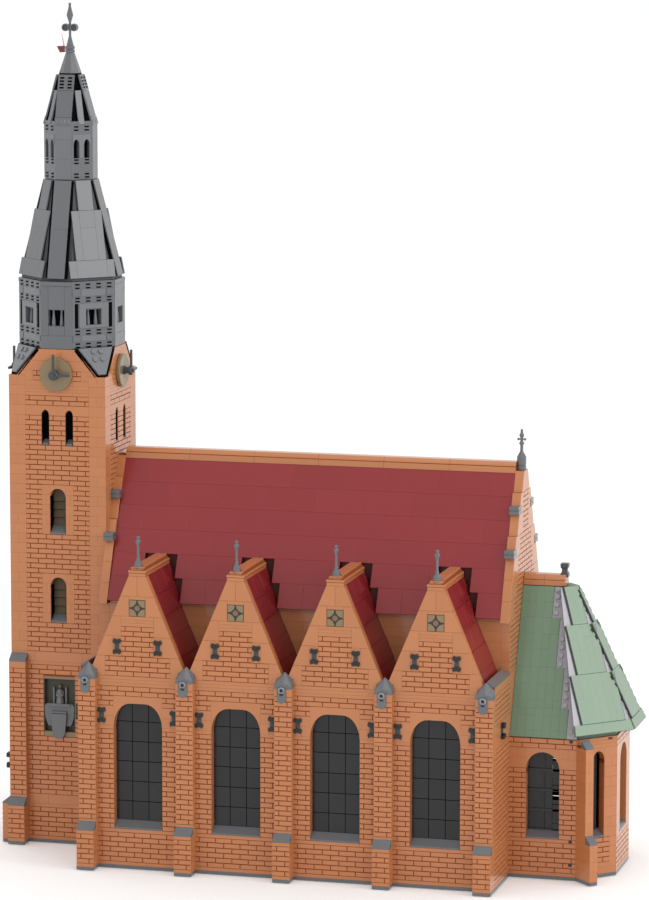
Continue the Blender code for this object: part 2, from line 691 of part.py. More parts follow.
def make_chancel_roof(materials):
    """The chancel's two slopes as one hollow roof, cut off at the hips, and its ridge."""
    green = materials["pale_green"]
    foot = CHANCEL_TOP + GAP
    top = CHANCEL_ROOF_TOP
    eave = VESSEL / 2
    head = CHANCEL_ROOF_HEAD / 2
    thick = CHANCEL_ROOF_THICK
    start = GAP
    lower = [(start, -eave), (hip(foot), -eave), (hip(foot), eave), (start, eave)]
    upper = [(start, -head), (hip(top), -head), (hip(top), head), (start, head)]
    roof = make_object("chancel_roof", bridge(at_height(lower, foot), at_height(upper, top)), green)
    slope = (eave - head) / (top - foot)
    low = eave - thick + slope * PLATE
    high = slope * thick
    inner = [(-low, foot - PLATE), (low, foot - PLATE), (high, top - thick), (-high, top - thick)]
    cut(roof, "chancel_roof_hollow", crosswise(inner, -STUD, CHANCEL))
    place(roof, CHANCEL_WEST, CENTRE_LINE)
    ridge_foot = top + GAP
    bm = crosswise(ridge_section(ridge_foot, 0), start, CHANCEL_RIDGE)
    ridge = make_object("chancel_ridge", bm, materials["clay_brick"])
    crest = ridge_foot + RIDGE_SIDE + RIDGE_TOP
    half = STUD / 2
    block = rectangle(CHANCEL_RIDGE - STUD - GAP, CHANCEL_RIDGE - GAP, -half, half)
    join(ridge, "chancel_ridge_block", slab(block, crest - PLATE, crest + CHANCEL_FINIAL))
    place(ridge, CHANCEL_WEST, CENTRE_LINE)


def make_apse_roof(materials):
    """The three steep faces over the apse, hollow, on a level rim that rests on the apse walls."""
    foot = APSE_ROOF_LOW
    seat = CHANCEL_TOP + GAP
    top = CHANCEL_ROOF_TOP
    lower = apse_ring(foot, 0, hip(foot) + GAP)
    upper = apse_ring(top, 0, hip(top) + GAP)
    roof = make_object("apse_roof", bridge(lower, upper), materials["pale_green"])
    inset = APSE_SEAT_INSET
    rim = apse_plan(hip(seat) + GAP, CHANCEL + APSE_CUT - inset, CHANCEL + VESSEL / 2 - inset / DIAGONAL)
    join(roof, "apse_roof_seat", slab(rim, seat, foot + APSE_RIM / 2))
    thick = CHANCEL_ROOF_THICK
    above = top - APSE_CROWN
    inner_lower = apse_ring(foot + APSE_RIM, thick, hip(foot) - STUD)
    inner = bridge(inner_lower, apse_ring(above, thick, hip(above) - STUD))
    cut(roof, "apse_roof_hollow", inner)
    inside = apse_plan(CHANCEL - STUD, CHANCEL + APSE_CUT - WALL, CHANCEL + VESSEL / 2 - WALL / DIAGONAL)
    cut(roof, "apse_roof_opening", slab(inside, seat - PLATE, foot + APSE_RIM + PLATE))
    place(roof, CHANCEL_WEST, CENTRE_LINE)


def tower_outline(width):
    """A tower wall's outline: sides up to the shoulders, then a gable cut off level."""
    foot = BASE + GAP
    middle = width / 2
    spread = min(TOWER_GABLE_FOOT / 2, middle)
    head = TOWER_GABLE_HEAD / 2
    top = TOWER_SHOULDER + TOWER_GABLE_RISE
    points = [(0, foot), (width, foot), (width, TOWER_SHOULDER)]
    if spread < middle:
        points.append((middle + spread, TOWER_SHOULDER))
    points += [(middle + head, top), (middle - head, top)]
    if spread < middle:
        points.append((middle - spread, TOWER_SHOULDER))
    points.append((0, TOWER_SHOULDER))
    return points


def tower_windows(middle, bells):
    windows = []
    for side in (-1, 1):
        x = middle + side * TOP_LANCET_SPACING / 2
        windows.append(arch(x, TOP_LANCET, TOP_LANCET_SILL, TOP_LANCET_SILL + TOP_LANCET_RISE))
    if bells:
        windows += [arch(middle, BELL_WINDOW, sill, sill + BELL_WINDOW_RISE) for sill in BELL_SILLS]
    return windows


def make_tower_walls(materials):
    """Four walls with gables. The east one faces the nave's roof and has no bell windows."""
    brick = materials["clay_brick"]
    inside = TOWER - 2 * WALL - 2 * GAP
    for side, width, x, y, turn in (
            ("south", TOWER, TOWER_WEST, TOWER_SOUTH, 0),
            ("east", inside, TOWER_EAST, TOWER_SOUTH + WALL + GAP, QUARTER_TURN),
            ("north", TOWER, TOWER_EAST, TOWER_NORTH, HALF_TURN),
            ("west", inside, TOWER_WEST, TOWER_NORTH - WALL - GAP, -QUARTER_TURN)):
        wall = make_object("tower_wall_" + side, upright(tower_outline(width), 0, WALL), brick)
        cut_windows(wall, tower_windows(width / 2, side != "east"))
        if side == "south":
            niche = rectangle(width / 2 - NICHE / 2, width / 2 + NICHE / 2, NICHE_FOOT, NICHE_TOP)
            cut(wall, "niche_recess", upright(niche, -WALL, NICHE_DEPTH))
        place(wall, x, y, turn)


def make_niche(materials):
    """A small upright figure on a shield-shaped bracket with a tongue hanging in front."""
    grey = materials["slate_grey"]
    half = NICHE / 2 - 2 * GAP
    narrow = BRACKET_FOOT_WIDTH / 2
    shield = [(-narrow, BRACKET_FOOT), (narrow, BRACKET_FOOT), (half, BRACKET_FOOT + BRACKET_SLOPE),
              (half, BRACKET_TOP), (-half, BRACKET_TOP), (-half, BRACKET_FOOT + BRACKET_SLOPE)]
    bracket = make_object("niche_bracket", upright(shield, -BRACKET_PROUD, NICHE_DEPTH - GAP), grey)
    tongue = rectangle(-TONGUE / 2, TONGUE / 2, NICHE_FOOT, TONGUE_TOP)
    join(bracket, "niche_tongue", upright(tongue, -TONGUE_PROUD, GAP - BRACKET_PROUD))
    place(bracket, TOWER_MIDDLE, TOWER_SOUTH)
    foot = BRACKET_TOP + GAP
    profile = [(0, foot), (STATUE_RADIUS, foot)]
    for girth, height in (STATUE_WAIST, STATUE_SHOULDER, STATUE_NECK, STATUE_BROW):
        profile.append((girth * STATUE_RADIUS, foot + height * STATUE))
    profile.append((0, foot + STATUE))
    figure = make_object("niche_statue", turned(profile, TURNED_STEPS), grey)
    place(figure, TOWER_MIDDLE, TOWER_SOUTH + NICHE_DEPTH - STATUE_RADIUS - GAP)


def make_corner_buttresses(materials):
    """The tower's two outer corners: a foot and a shaft to one side, a low foot to the west."""
    foot = BASE + GAP
    side = [(-GAP, foot), (-BUTTRESS_FOOT, foot), (-BUTTRESS_FOOT, FOOT_TOP),
            (-CORNER_SHAFT, FOOT_TOP + FOOT_CAP), (-CORNER_SHAFT, CORNER_SHAFT_TOP),
            (-GAP, CORNER_SHAFT_TOP + CORNER_SHAFT_CAP)]
    west = [(-GAP, foot), (-GAP, FOOT_TOP + FOOT_CAP), (-CORNER_WEST_REACH, FOOT_TOP),
            (-CORNER_WEST_REACH, foot)]
    for name, mirror, y in (("southwest", 1, TOWER_SOUTH), ("northwest", -1, TOWER_NORTH)):
        bm = crosswise([(mirror * across, z) for across, z in side], 0, BUTTRESS)
        buttress = make_object("tower_buttress_" + name, bm, materials["clay_brick"])
        start = -mirror * CORNER_SHAFT
        end = mirror * (CORNER_WEST_LENGTH - CORNER_SHAFT)
        join(buttress, name + "_west_foot", upright(west, start, end))
        neck = [(-NECK, start), (NECK, start), (NECK, -mirror * 2 * GAP), (-NECK, -mirror * 2 * GAP)]
        join(buttress, name + "_neck", slab(neck, foot + GAP, FOOT_TOP - GAP))
        place(buttress, TOWER_WEST, y)


def make_crown(materials):
    """The plates between the four gables: a flat deck with a sloping wing at each corner."""
    side = TOWER / 2 - WALL - GAP
    head = TOWER_GABLE_HEAD / 2
    top = TOWER_SHOULDER + TOWER_GABLE_RISE - GAP
    grey = materials["slate_grey"]
    crown = make_object("tower_crown", slab(octagon(side, 2 * head), top - DECK, top), grey)
    low = TOWER_SHOULDER + WING_LOW
    high = top - DECK / 2
    wing = [(head - WING_TAIL, WING_TAIL - side, high), (side - WING_TAIL, WING_TAIL - head, high),
            (side, -side, low)]
    for quarter in range(4):
        turn = Matrix.Rotation(quarter * QUARTER_TURN, 3, "Z")
        bm = extrude([turn @ Vector(p) for p in wing], (0, 0, -WING_THICK))
        join(crown, "crown_wing_" + str(quarter), bm)
    place(crown, TOWER_MIDDLE, CENTRE_LINE)


def make_clocks(materials):
    """Four dials, one on each gable, each with a hub and two hands at three o'clock."""
    face = -TOWER / 2 - CLOCK_THICK - GAP
    hub_front = face - CLOCK_HUB
    hand_front = face - CLOCK_HUB + GAP
    half = CLOCK_HAND_WIDTH / 2
    hour = rectangle(0, CLOCK_HOUR_HAND, CLOCK_HEIGHT - half, CLOCK_HEIGHT + half)
    minute = rectangle(-half, half, CLOCK_HEIGHT, CLOCK_HEIGHT + CLOCK_MINUTE_HAND)
    for number, side in enumerate(("south", "east", "north", "west")):
        dial = disc(CLOCK_RADIUS, CLOCK_THICK, 0, face, CLOCK_HEIGHT, DIAL_SEGMENTS)
        clock = make_object("clock_" + side, dial, materials["olive_tan"])
        hub = disc(CLOCK_HUB_RADIUS, CLOCK_HUB + CLOCK_THICK / 2, 0, hub_front, CLOCK_HEIGHT, DISC_SEGMENTS)
        join(clock, "hub_" + side, hub)
        for label, outline in (("hour_hand_", hour), ("minute_hand_", minute)):
            join(clock, label + side, upright(outline, hand_front, hand_front + CLOCK_HAND_THICK))
        place(clock, TOWER_MIDDLE, CENTRE_LINE, number * QUARTER_TURN)


def make_spire(materials):
    """The eight-sided drum, skirt, upper lantern and spire, one above the other."""
    grey = materials["slate_grey"]
    foot = TOWER_SHOULDER + TOWER_GABLE_RISE + GAP
    half_tower = TOWER / 2
    ring = (half_tower, DRUM_FACE)
    drum = hollow_octagon("lantern_drum", ring, foot, ring, DRUM_TOP, WALL, grey)
    for name, first in (("drum_windows", 0), ("drum_side_windows", EIGHTH_TURN)):
        cut_ring_windows(drum, name, half_tower, DRUM_WINDOW, DRUM_SILL, DRUM_WINDOW_RISE, first)
    skirt = hollow_octagon("spire_skirt", (SKIRT_FOOT_RADIUS, DRUM_FACE), SKIRT_FOOT,
                           (SKIRT_TOP_RADIUS, LANTERN_FACE), SKIRT_TOP, SKIRT_THICK, grey)
    inset = SKIRT_SEAT_INSET
    seat = octagon(half_tower - inset, DRUM_FACE - 2 * inset * math.tan(MITRE))
    join(skirt, "skirt_seat", slab(seat, DRUM_TOP + GAP, SKIRT_FOOT + PLATE))
    ring = (LANTERN_RADIUS, LANTERN_FACE)
    lantern = hollow_octagon("upper_lantern", ring, SKIRT_TOP + GAP, ring, LANTERN_TOP, LANTERN_WALL, grey)
    for name, side in (("lantern_windows", -1), ("lantern_twin_windows", 1)):
        cut_ring_windows(lantern, name, LANTERN_RADIUS, LANTERN_WINDOW, LANTERN_SILL, LANTERN_WINDOW_RISE,
                         EIGHTH_TURN, side * LANTERN_SPACING / 2)
    spire = hollow_octagon("upper_spire", (SPIRE_FOOT_RADIUS, LANTERN_FACE), LANTERN_TOP + GAP,
                           (SPIRE_TOP_RADIUS, SPIRE_TOP_FACE), SPIRE_TOP, SPIRE_THICK, grey)
    for piece in (drum, skirt, lantern, spire):
        place(piece, TOWER_MIDDLE, CENTRE_LINE)


def make_spire_tip(materials):
    """The cone on the spire, its stem with two round leaves and a spearhead, and a small vane."""
    grey = materials["slate_grey"]
    foot = SPIRE_TOP + GAP
    lower = at_height(octagon(CONE_FOOT_RADIUS), foot)
    upper = at_height(octagon(CONE_TOP_RADIUS), CONE_TOP)
    finial = make_object("spire_finial", bridge(lower, upper), grey)
    collar = CONE_TOP_RADIUS - GAP
    profile = [(0, CONE_TOP - PLATE), (collar, CONE_TOP - PLATE), (collar, COLLAR_TOP),
               (STEM_RADIUS, TIP_CONE_TOP), (STEM_RADIUS, SPEAR_FOOT), (SPEAR_RADIUS, SPEAR_WIDEST),
               (STEM_RADIUS, TIP - PLATE), (STEM_RADIUS, TIP), (0, TIP)]
    join(finial, "finial_stem", turned(profile, TURNED_STEPS))
    for side in (-1, 1):
        x = side * (DISC_RADIUS + STEM_RADIUS / 2)
        leaf = disc(DISC_RADIUS, DISC_THICK, x, -DISC_THICK / 2, DISC_HEIGHT, DISC_SEGMENTS)
        join(finial, "finial_leaf_" + str(side), leaf)
    place(finial, TOWER_MIDDLE, CENTRE_LINE)
    vane = rectangle(-VANE_LENGTH, 0, VANE_HEIGHT, VANE_HEIGHT + VANE_RISE)
    flag = make_object("vane_flag", upright(vane, -VANE_THICK / 2, VANE_THICK / 2), materials["dark_red"])
    place(flag, TOWER_MIDDLE - CONE_TOP_RADIUS - GAP, CENTRE_LINE)


def build():
    clear_scene()
    materials = make_materials()
    make_base(materials)
    make_aisles(materials)
    make_end_walls(materials)
    make_clerestory(materials)
    make_main_roof(materials)
    make_aisle_roofs(materials)
    make_chancel(materials)
    make_chancel_roof(materials)
    make_apse_roof(materials)
    make_tower_walls(materials)
    make_niche(materials)
    make_corner_buttresses(materials)
    make_crown(materials)
    make_clocks(materials)
    make_spire(materials)
    make_spire_tip(materials)


build()
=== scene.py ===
import math

import bmesh
import bpy
from mathutils import Matrix, Vector, noise


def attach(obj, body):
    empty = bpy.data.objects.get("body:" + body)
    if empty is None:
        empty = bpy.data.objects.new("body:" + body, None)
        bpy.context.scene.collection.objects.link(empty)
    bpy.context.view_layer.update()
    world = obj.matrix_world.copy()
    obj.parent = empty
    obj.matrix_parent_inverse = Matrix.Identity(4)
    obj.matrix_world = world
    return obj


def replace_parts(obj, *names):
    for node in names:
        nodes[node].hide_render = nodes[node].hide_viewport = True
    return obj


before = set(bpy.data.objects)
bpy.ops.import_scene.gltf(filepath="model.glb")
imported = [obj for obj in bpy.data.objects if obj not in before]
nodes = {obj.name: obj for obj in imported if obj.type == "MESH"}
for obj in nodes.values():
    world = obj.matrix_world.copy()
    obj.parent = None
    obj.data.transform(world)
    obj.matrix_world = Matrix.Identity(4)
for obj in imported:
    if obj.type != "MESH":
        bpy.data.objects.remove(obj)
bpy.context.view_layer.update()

# The viewpoint. The photograph looks at the niche side, a little from the apse's end and from above,
# through a long lens. Its place was worked out from the joints between the bricks.
AZIMUTH = math.radians(14.828)
ELEVATION = math.radians(8.3192)
ROLL = math.radians(0.0624)
EYE = Vector((1.014174, -3.828831, 0.968172))
back = Vector((math.sin(AZIMUTH) * math.cos(ELEVATION), -math.cos(AZIMUTH) * math.cos(ELEVATION),
               math.sin(ELEVATION)))
level = Vector((math.cos(AZIMUTH), math.sin(AZIMUTH), 0))
upward = back.cross(level)
across = math.cos(ROLL) * level + math.sin(ROLL) * upward
upright = math.cos(ROLL) * upward - math.sin(ROLL) * level
lens = bpy.data.cameras.new("camera")
lens.lens = 167.8
lens.sensor_width = 36
lens.clip_end = 300
camera = bpy.data.objects.new("camera", lens)
camera.matrix_world = Matrix.Translation(EYE) @ Matrix((across, upright, back)).transposed().to_4x4()
bpy.context.scene.collection.objects.link(camera)
bpy.context.scene.camera = camera

# The studio: a pale table top under an even white sky, one wide soft lamp from the apse's end, which
# lights the faces turned that way, and a weaker one from above. Colours are shown as they are.
SKY = 1.0
bpy.context.scene.view_settings.view_transform = "Standard"
world = bpy.data.worlds.new("studio")
world.use_nodes = True
world.node_tree.nodes["Background"].inputs["Color"].default_value = (1, 1, 1, 1)
world.node_tree.nodes["Background"].inputs["Strength"].default_value = SKY
bpy.context.scene.world = world


def lamp(name, place, aim, width, power):
    """A square soft lamp that shines at a point."""
    light = bpy.data.lights.new(name, "AREA")
    light.size = width
    light.energy = power
    obj = bpy.data.objects.new(name, light)
    direction = Vector(aim) - Vector(place)
    obj.matrix_world = Matrix.Translation(place) @ direction.to_track_quat("-Z", "Y").to_matrix().to_4x4()
    bpy.context.scene.collection.objects.link(obj)


lamp("apse_end_lamp", (3.2, -0.6, 1.6), (0, 0, 0.35), 1.6, 29)
lamp("top_lamp", (0.3, -0.8, 3.4), (0, 0, 0.3), 1.6, 10)


class Shade:
    """A socket of a material's nodes, so that shader maths reads as a plain expression."""

    def __init__(self, tree, socket=None):
        self.tree = tree
        self.socket = socket

    def node(self, kind, settings, inputs, output=0):
        """Any node: its settings first, then the values or links of its sockets."""
        made = self.tree.nodes.new(kind)
        for name, value in settings.items():
            setattr(made, name, value)
        for name, value in inputs.items():
            if isinstance(value, Shade):
                self.tree.links.new(value.socket, made.inputs[name])
            else:
                made.inputs[name].default_value = value
        return Shade(self.tree, made.outputs[output])

    def maths(self, operation, first, second):
        return self.node("ShaderNodeMath", {"operation": operation}, {0: first, 1: second})

    def __add__(self, other):
        return self.maths("ADD", self, other)

    def __sub__(self, other):
        return self.maths("SUBTRACT", self, other)

    def __rsub__(self, other):
        return self.maths("SUBTRACT", other, self)

    def __mul__(self, other):
        return self.maths("MULTIPLY", self, other)

    __radd__ = __add__
    __rmul__ = __mul__

    def between(self, dark, light):
        """A colour from dark to light as this value goes from 0 to 1."""
        return self.node("ShaderNodeMix", {"data_type": "RGBA"}, {0: self, 6: dark, 7: light}, 2)

    def noise(self, scale, detail=2.0):
        """Soft cloudy noise from 0 to 1 in the model's own coordinates, scale in clouds a metre."""
        spot = self.node("ShaderNodeTexCoord", {}, {}, "Object")
        return self.node("ShaderNodeTexNoise", {}, {"Vector": spot, "Scale": scale, "Detail": detail})


def tinted(colour, share):
    return (*[min(1.0, channel * share) for channel in colour], 1)


def moulded_plastic(name, colour, roughness=0.2, spread=0.05, ripple=0.03, gloss=0.5):
    """Moulded plastic: slightly clouded colour and gloss, a faint ripple and each brick's own tint."""
    material = bpy.data.materials.new(name)
    material.use_nodes = True
    tree = material.node_tree
    shader = tree.nodes["Principled BSDF"]
    shade = Shade(tree)
    tint = shade.node("ShaderNodeAttribute", {"attribute_name": "tint"}, {}, "Fac")
    cloud = shade.noise(14.0)
    mix = (tint * 0.6 + cloud * 0.4).between(tinted(colour, 1 - spread), tinted(colour, 1 + spread))
    tree.links.new(mix.socket, shader.inputs["Base Color"])
    rough = shade.noise(160.0) * 0.08 + (roughness - 0.04)
    tree.links.new(rough.socket, shader.inputs["Roughness"])
    wave = shade.node("ShaderNodeBump", {}, {"Height": shade.noise(90.0, 1.0), "Strength": ripple,
                                            "Distance": 0.0004})
    tree.links.new(wave.socket, shader.inputs["Normal"])
    shader.inputs["IOR"].default_value = 1.5
    shader.inputs["Specular IOR Level"].default_value = gloss
    return material


floor_mesh = bmesh.new()
bmesh.ops.create_grid(floor_mesh, x_segments=1, y_segments=1, size=120,
                      matrix=Matrix.Translation((0, 0, -0.0006)))
floor_data = bpy.data.meshes.new("floor")
floor_mesh.to_mesh(floor_data)
floor = bpy.data.objects.new("floor", floor_data)
bpy.context.scene.collection.objects.link(floor)
table_top = moulded_plastic("table_top", (0.86, 0.86, 0.86), 0.8, 0.0, 0.0)
table_top.node_tree.nodes["Principled BSDF"].inputs["Emission Color"].default_value = (1, 1, 1, 1)
table_top.node_tree.nodes["Principled BSDF"].inputs["Emission Strength"].default_value = 0.16
floor_data.materials.append(table_top)

# Lowest plates. A single layer of slate-grey plates lies under every wall and buttress foot, and the
# walls are built on its studs. From here on, lengths are in brick pitches and heights in plates, and
# brick faces stand PROUD metres out of the solid behind them, with their backs SUNK into it.
STUD = 0.008
PLATE = 0.0032
PROUD = 0.00045
SUNK = -0.0002
MIDDLE = 25.4
CENTRE = 16
TOWER_SHIFT = -0.0003
CHANCEL_SHIFT = 0.0003
SEAM = 0.00003
SHARP = 0.35
QUARTER = math.pi / 2
GREY = (0.122, 0.127, 0.136)


def facing(x, y, turn=0.0, shift=0.0):
    """The frame of a wall face: its left end, seen from outside, and its turn. -Y points outwards."""
    spot = Matrix.Translation(((x - MIDDLE) * STUD + shift, (y - CENTRE) * STUD, 0))
    return spot @ Matrix.Rotation(turn, 4, "Z")


def tint_faces(bm, faces):
    """Give the faces of one block a tint of their own."""
    layer = bm.faces.layers.float.get("tint")
    value = noise.random()
    for face in faces:
        face[layer] = value


def box(bm, place, left, right, foot, top, front, back, edge=0.0):
    """One block in a face's frame: left to right in pitches, foot to top in plates, and its front and
    back in metres out of the face."""
    size = ((right - left) * STUD - 2 * edge, front - back, (top - foot) * PLATE - 2 * edge)
    centre = ((left + right) / 2 * STUD, -(front + back) / 2, (foot + top) / 2 * PLATE)
    matrix = place @ Matrix.Translation(centre) @ Matrix.Diagonal((*size, 1))
    made = bmesh.ops.create_cube(bm, size=1, matrix=matrix)
    tint_faces(bm, {face for vert in made["verts"] for face in vert.link_faces})


def course(bm, place, joints, foot, top, edge, laps=(0, 0)):
    """One row of blocks between its upright joints. A lap takes an end block round a corner."""
    last = len(joints) - 2
    for number in range(last + 1):
        left = joints[number] - ((edge - SEAM + laps[0]) / STUD if number == 0 else 0)
        right = joints[number + 1] + ((edge - SEAM + laps[1]) / STUD if number == last else 0)
        box(bm, place, left, right, foot, top, PROUD, SUNK, edge)


def joints_between(left, right, first, step):
    """An end, the joints between, and the other end."""
    joints = [left]
    while first < right - 0.05:
        if first > left + 0.05:
            joints.append(first)
        first += step
    return joints + [right]


def smooth_rows(bm, place, left, right, rows, step=4, laps=(0, 0)):
    """Smooth plates or bricks, one row between each two heights, their joints half a brick apart."""
    for number, (foot, top) in enumerate(zip(rows, rows[1:])):
        first = left + (step / 2 if number % 2 else step)
        course(bm, place, joints_between(left, right, first, step), foot, top, SEAM, laps)


def new_mesh():
    noise.seed_set(7)
    bm = bmesh.new()
    bm.faces.layers.float.new("tint")
    return bm


def piece(name, bm, material, edge=0.00008, segments=1):
    """Round the edges a little, turn the faces outwards and put the piece on the model."""
    bmesh.ops.recalc_face_normals(bm, faces=bm.faces)
    if edge:
        sharp = [e for e in bm.edges if len(e.link_faces) == 2 and e.calc_face_angle(0) > SHARP]
        bmesh.ops.bevel(bm, geom=sharp, offset=edge, affect="EDGES", segments=segments, profile=0.5,
                        material=-1, clamp_overlap=True)
    mesh = bpy.data.meshes.new(name)
    bm.to_mesh(mesh)
    bm.free()
    mesh.materials.append(material)
    obj = bpy.data.objects.new(name, mesh)
    bpy.context.scene.collection.objects.link(obj)
    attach(obj, "root")
    return obj


def recoat(name, material):
    """Give one of the solids its plastic."""
    nodes[name].data.materials.clear()
    nodes[name].data.materials.append(material)


slate = moulded_plastic("slate_grey_plastic", GREY, 0.22)


def base_corners():
    """The corners of the plates' plan on the south side, from the tower to the apse."""
    corners = [(-12, 16), (-12, 12), (-13, 12), (-13, 9), (-12, 9), (-12, 8), (-10, 8), (-10, 10), (0, 10)]
    for left in range(0, 49, 12):
        corners += [(left, 0)] if left else []
        corners += [(left, -2), (left + 2, -2)]
        corners += [(left + 2, 0)] if left < 48 else []
    reach = 3 * math.sqrt(0.5)
    thick = math.sqrt(0.5)
    corners += [(50, 8), (58, 8), (58 + reach, 8 - reach), (58 + reach + thick, 8 - reach + thick),
                (58 + thick, 8 + thick), (62, 12), (62, 16)]
    return corners


south_corners = base_corners()
base_run = south_corners + [(x, 32 - y) for x, y in south_corners[-2::-1]]
plates = new_mesh()
for number in range(len(base_run) - 1):
    (x0, y0), (x1, y1) = base_run[number], base_run[number + 1]
    length = math.hypot(x1 - x0, y1 - y0)
    shift = TOWER_SHIFT if max(x0, x1) <= 0 else CHANCEL_SHIFT if min(x0, x1) >= 50 else 0.0
    place = facing(x0, y0, math.atan2(y1 - y0, x1 - x0), shift)
    smooth_rows(plates, place, 0, length, (0.05, 1), 6)
piece("base_plate_edges", plates, slate)
recoat("base_plate", slate)

# Aisle walls. Each bay is built of clay-orange bricks whose faces are moulded as two courses of small
# masonry, with smooth bricks and plates as bands and a smooth arch over the window. The solid wall
# behind shows only in the joints, in a darker clay that is painted shade in the joints.
CLAY = (0.475, 0.18, 0.068)
clay = moulded_plastic("clay_plastic", CLAY, 0.17)
# The solid behind the bricks is the same clay plastic, painted darker as the shade in the joints.
clay_joint_shade = moulded_plastic("clay_painted_shade_in_joints", (0.25, 0.057, 0.018), 0.8, gloss=0.1)
MORTAR = 0.00044
LAP = 0.0004
COURSE = 1.5
BRICK = 2


def masonry(bm, place, left, right, foot, top, shift=0, laps=(0, 0)):
    """Courses of moulded masonry: the upright joint is 1.5 pitches along a brick, then half a pitch."""
    start = left + shift
    for number in range(round((top - foot) / COURSE)):
        low = foot + number * COURSE
        first = start - BRICK + (0.5 if number % 2 else 1.5)
        course(bm, place, joints_between(left, right, first, BRICK), low, low + COURSE, MORTAR, laps)


def drawn_out(bm, place, corners, push):
    """A block drawn out of a flat face with these corners, both in metres in a face's frame."""
    verts = [bm.verts.new(place @ Vector(corner)) for corner in corners]
    made = bmesh.ops.extrude_face_region(bm, geom=[bm.faces.new(verts)])
    moved = [v for v in made["geom"] if isinstance(v, bmesh.types.BMVert)]
    bmesh.ops.translate(bm, verts=moved, vec=place.to_3x3() @ Vector(push))
    tint_faces(bm, {face for vert in verts + moved for face in vert.link_faces})


def slab(bm, place, outline, front, back):
    """A flat piece in a face's frame, from an outline of (pitches, plates) points."""
    drawn_out(bm, place, [(u * STUD, -front, z * PLATE) for u, z in outline], (0, front - back, 0))


def arch_curve(middle, width, crown, run, rise, steps=8):
    """An arch's soffit from its left foot over the crown to the right, corners as quarter ellipses."""
    half = width / 2
    turns = [QUARTER * i / steps for i in range(steps + 1)]
    rising = [(middle - half + run * (1 - math.cos(a)), crown - rise * (1 - math.sin(a))) for a in turns]
    return rising + [(2 * middle - u, z) for u, z in reversed(rising)]


def arch_stone(bm, place, middle, width, crown, run, rise, top, proud=PROUD):
    """A smooth brick with an arch cut in its underside. It lines the opening's head through the wall."""
    half = width / 2
    lined = arch_curve(middle, width - 0.06, crown - 0.1, min(run, half) - 0.03, rise)
    foot = crown - rise - 0.1
    outline = [(middle - half, foot)] + lined + [(middle + half, foot), (middle + half, top),
                                                 (middle - half, top)]
    slab(bm, place, outline, proud, -STUD)


def jambs(bm, place, left, right, foot, top):
    """The smooth sides of an opening, as deep as the wall."""
    box(bm, place, left, left + 0.03, foot, top, 0.0, -STUD)
    box(bm, place, right - 0.03, right, foot, top, 0.0, -STUD)


def wall_foot(bm, place, left, right, low_step, high_step):
    """The foot of a wall: six courses of masonry between two rows of smooth plates."""
    smooth_rows(bm, place, left, right, (1, 2), low_step)
    masonry(bm, place, left, right, 2, 11)
    smooth_rows(bm, place, left, right, (11, 12), high_step)


def aisle_bay(bm, place, left):
    """One bay's face between two buttresses, in the side's frame."""
    near = left + 2
    far = left + 12
    middle = left + 7
    window = (left + 4, left + 10)
    wall_foot(bm, place, near, far, 6, 4)
    for side, other in ((near, window[0]), (window[1], far)):
        masonry(bm, place, side, other, 12, 42)
        smooth_rows(bm, place, side, other, (42, 43, 46, 49), 2)
        masonry(bm, place, side, other, 49, 52)
    jambs(bm, place, *window, 12, 43)
    arch_stone(bm, place, middle, 6, 50, 2.1, 7, 52)
    masonry(bm, place, near, far, 52, 55)
    smooth_rows(bm, place, near, far, (55, 56, 57, 58), 6)


def small_gable(bm, place, middle):
    """A steep gable: sloping bricks 6 plates high at the edges, masonry and plates between."""
    for level in range(5):
        inside = 4 - level
        low = 58 + 6 * level
        for side in (-1, 1):
            outer = 6 - level
            stop = middle + side * (inside + 0.01)
            outline = [(middle + side * (outer + 0.04), low + 0.03),
                       (middle + side * (outer - 0.96), low + 5.97), (stop, low + 5.97), (stop, low + 0.03)]
            slab(bm, place, outline, PROUD, -STUD)
    masonry(bm, place, middle - 4, middle + 4, 58, 64)
    masonry(bm, place, middle - 2, middle + 2, 64, 73)
    for side in (-3, 2):
        box(bm, place, middle + side, middle + side + 1, 64, 70, PROUD, SUNK, SEAM)
    smooth_rows(bm, place, middle - 2, middle + 2, (73, 74, 75, 76), 4)
    smooth_rows(bm, place, middle - 1, middle + 1, (81, 82), 2)


def shaft_face(bm, place, left, depth, foot, top, coursed, width):
    """A buttress stage: masonry on its front, smooth bricks on its sides."""
    rows = [foot + 3 * i for i in range(int((top - foot) // 3) + 1)]
    rows += [top] if rows[-1] < top else []
    front = place @ Matrix.Translation((0, -depth * STUD, 0))
    if coursed:
        masonry(bm, front, left, left + width, foot, top, laps=(LAP, LAP))
    else:
        smooth_rows(bm, front, left, left + width, rows, width, (LAP, LAP))
    west = place @ Matrix.Translation((left * STUD, 0, 0)) @ Matrix.Rotation(-QUARTER, 4, "Z")
    east = front @ Matrix.Translation(((left + width) * STUD, 0, 0)) @ Matrix.Rotation(QUARTER, 4, "Z")
    smooth_rows(bm, west, 0, depth, rows, 4)
    smooth_rows(bm, east, 0, depth, rows, 4)


def buttress(bm, place, left, stages, width=2):
    """A buttress of stages, each given by its depth, its foot and top and whether it is masonry."""
    for depth, foot, top, coursed in stages:
        shaft_face(bm, place, left, depth, foot, top, coursed, width)


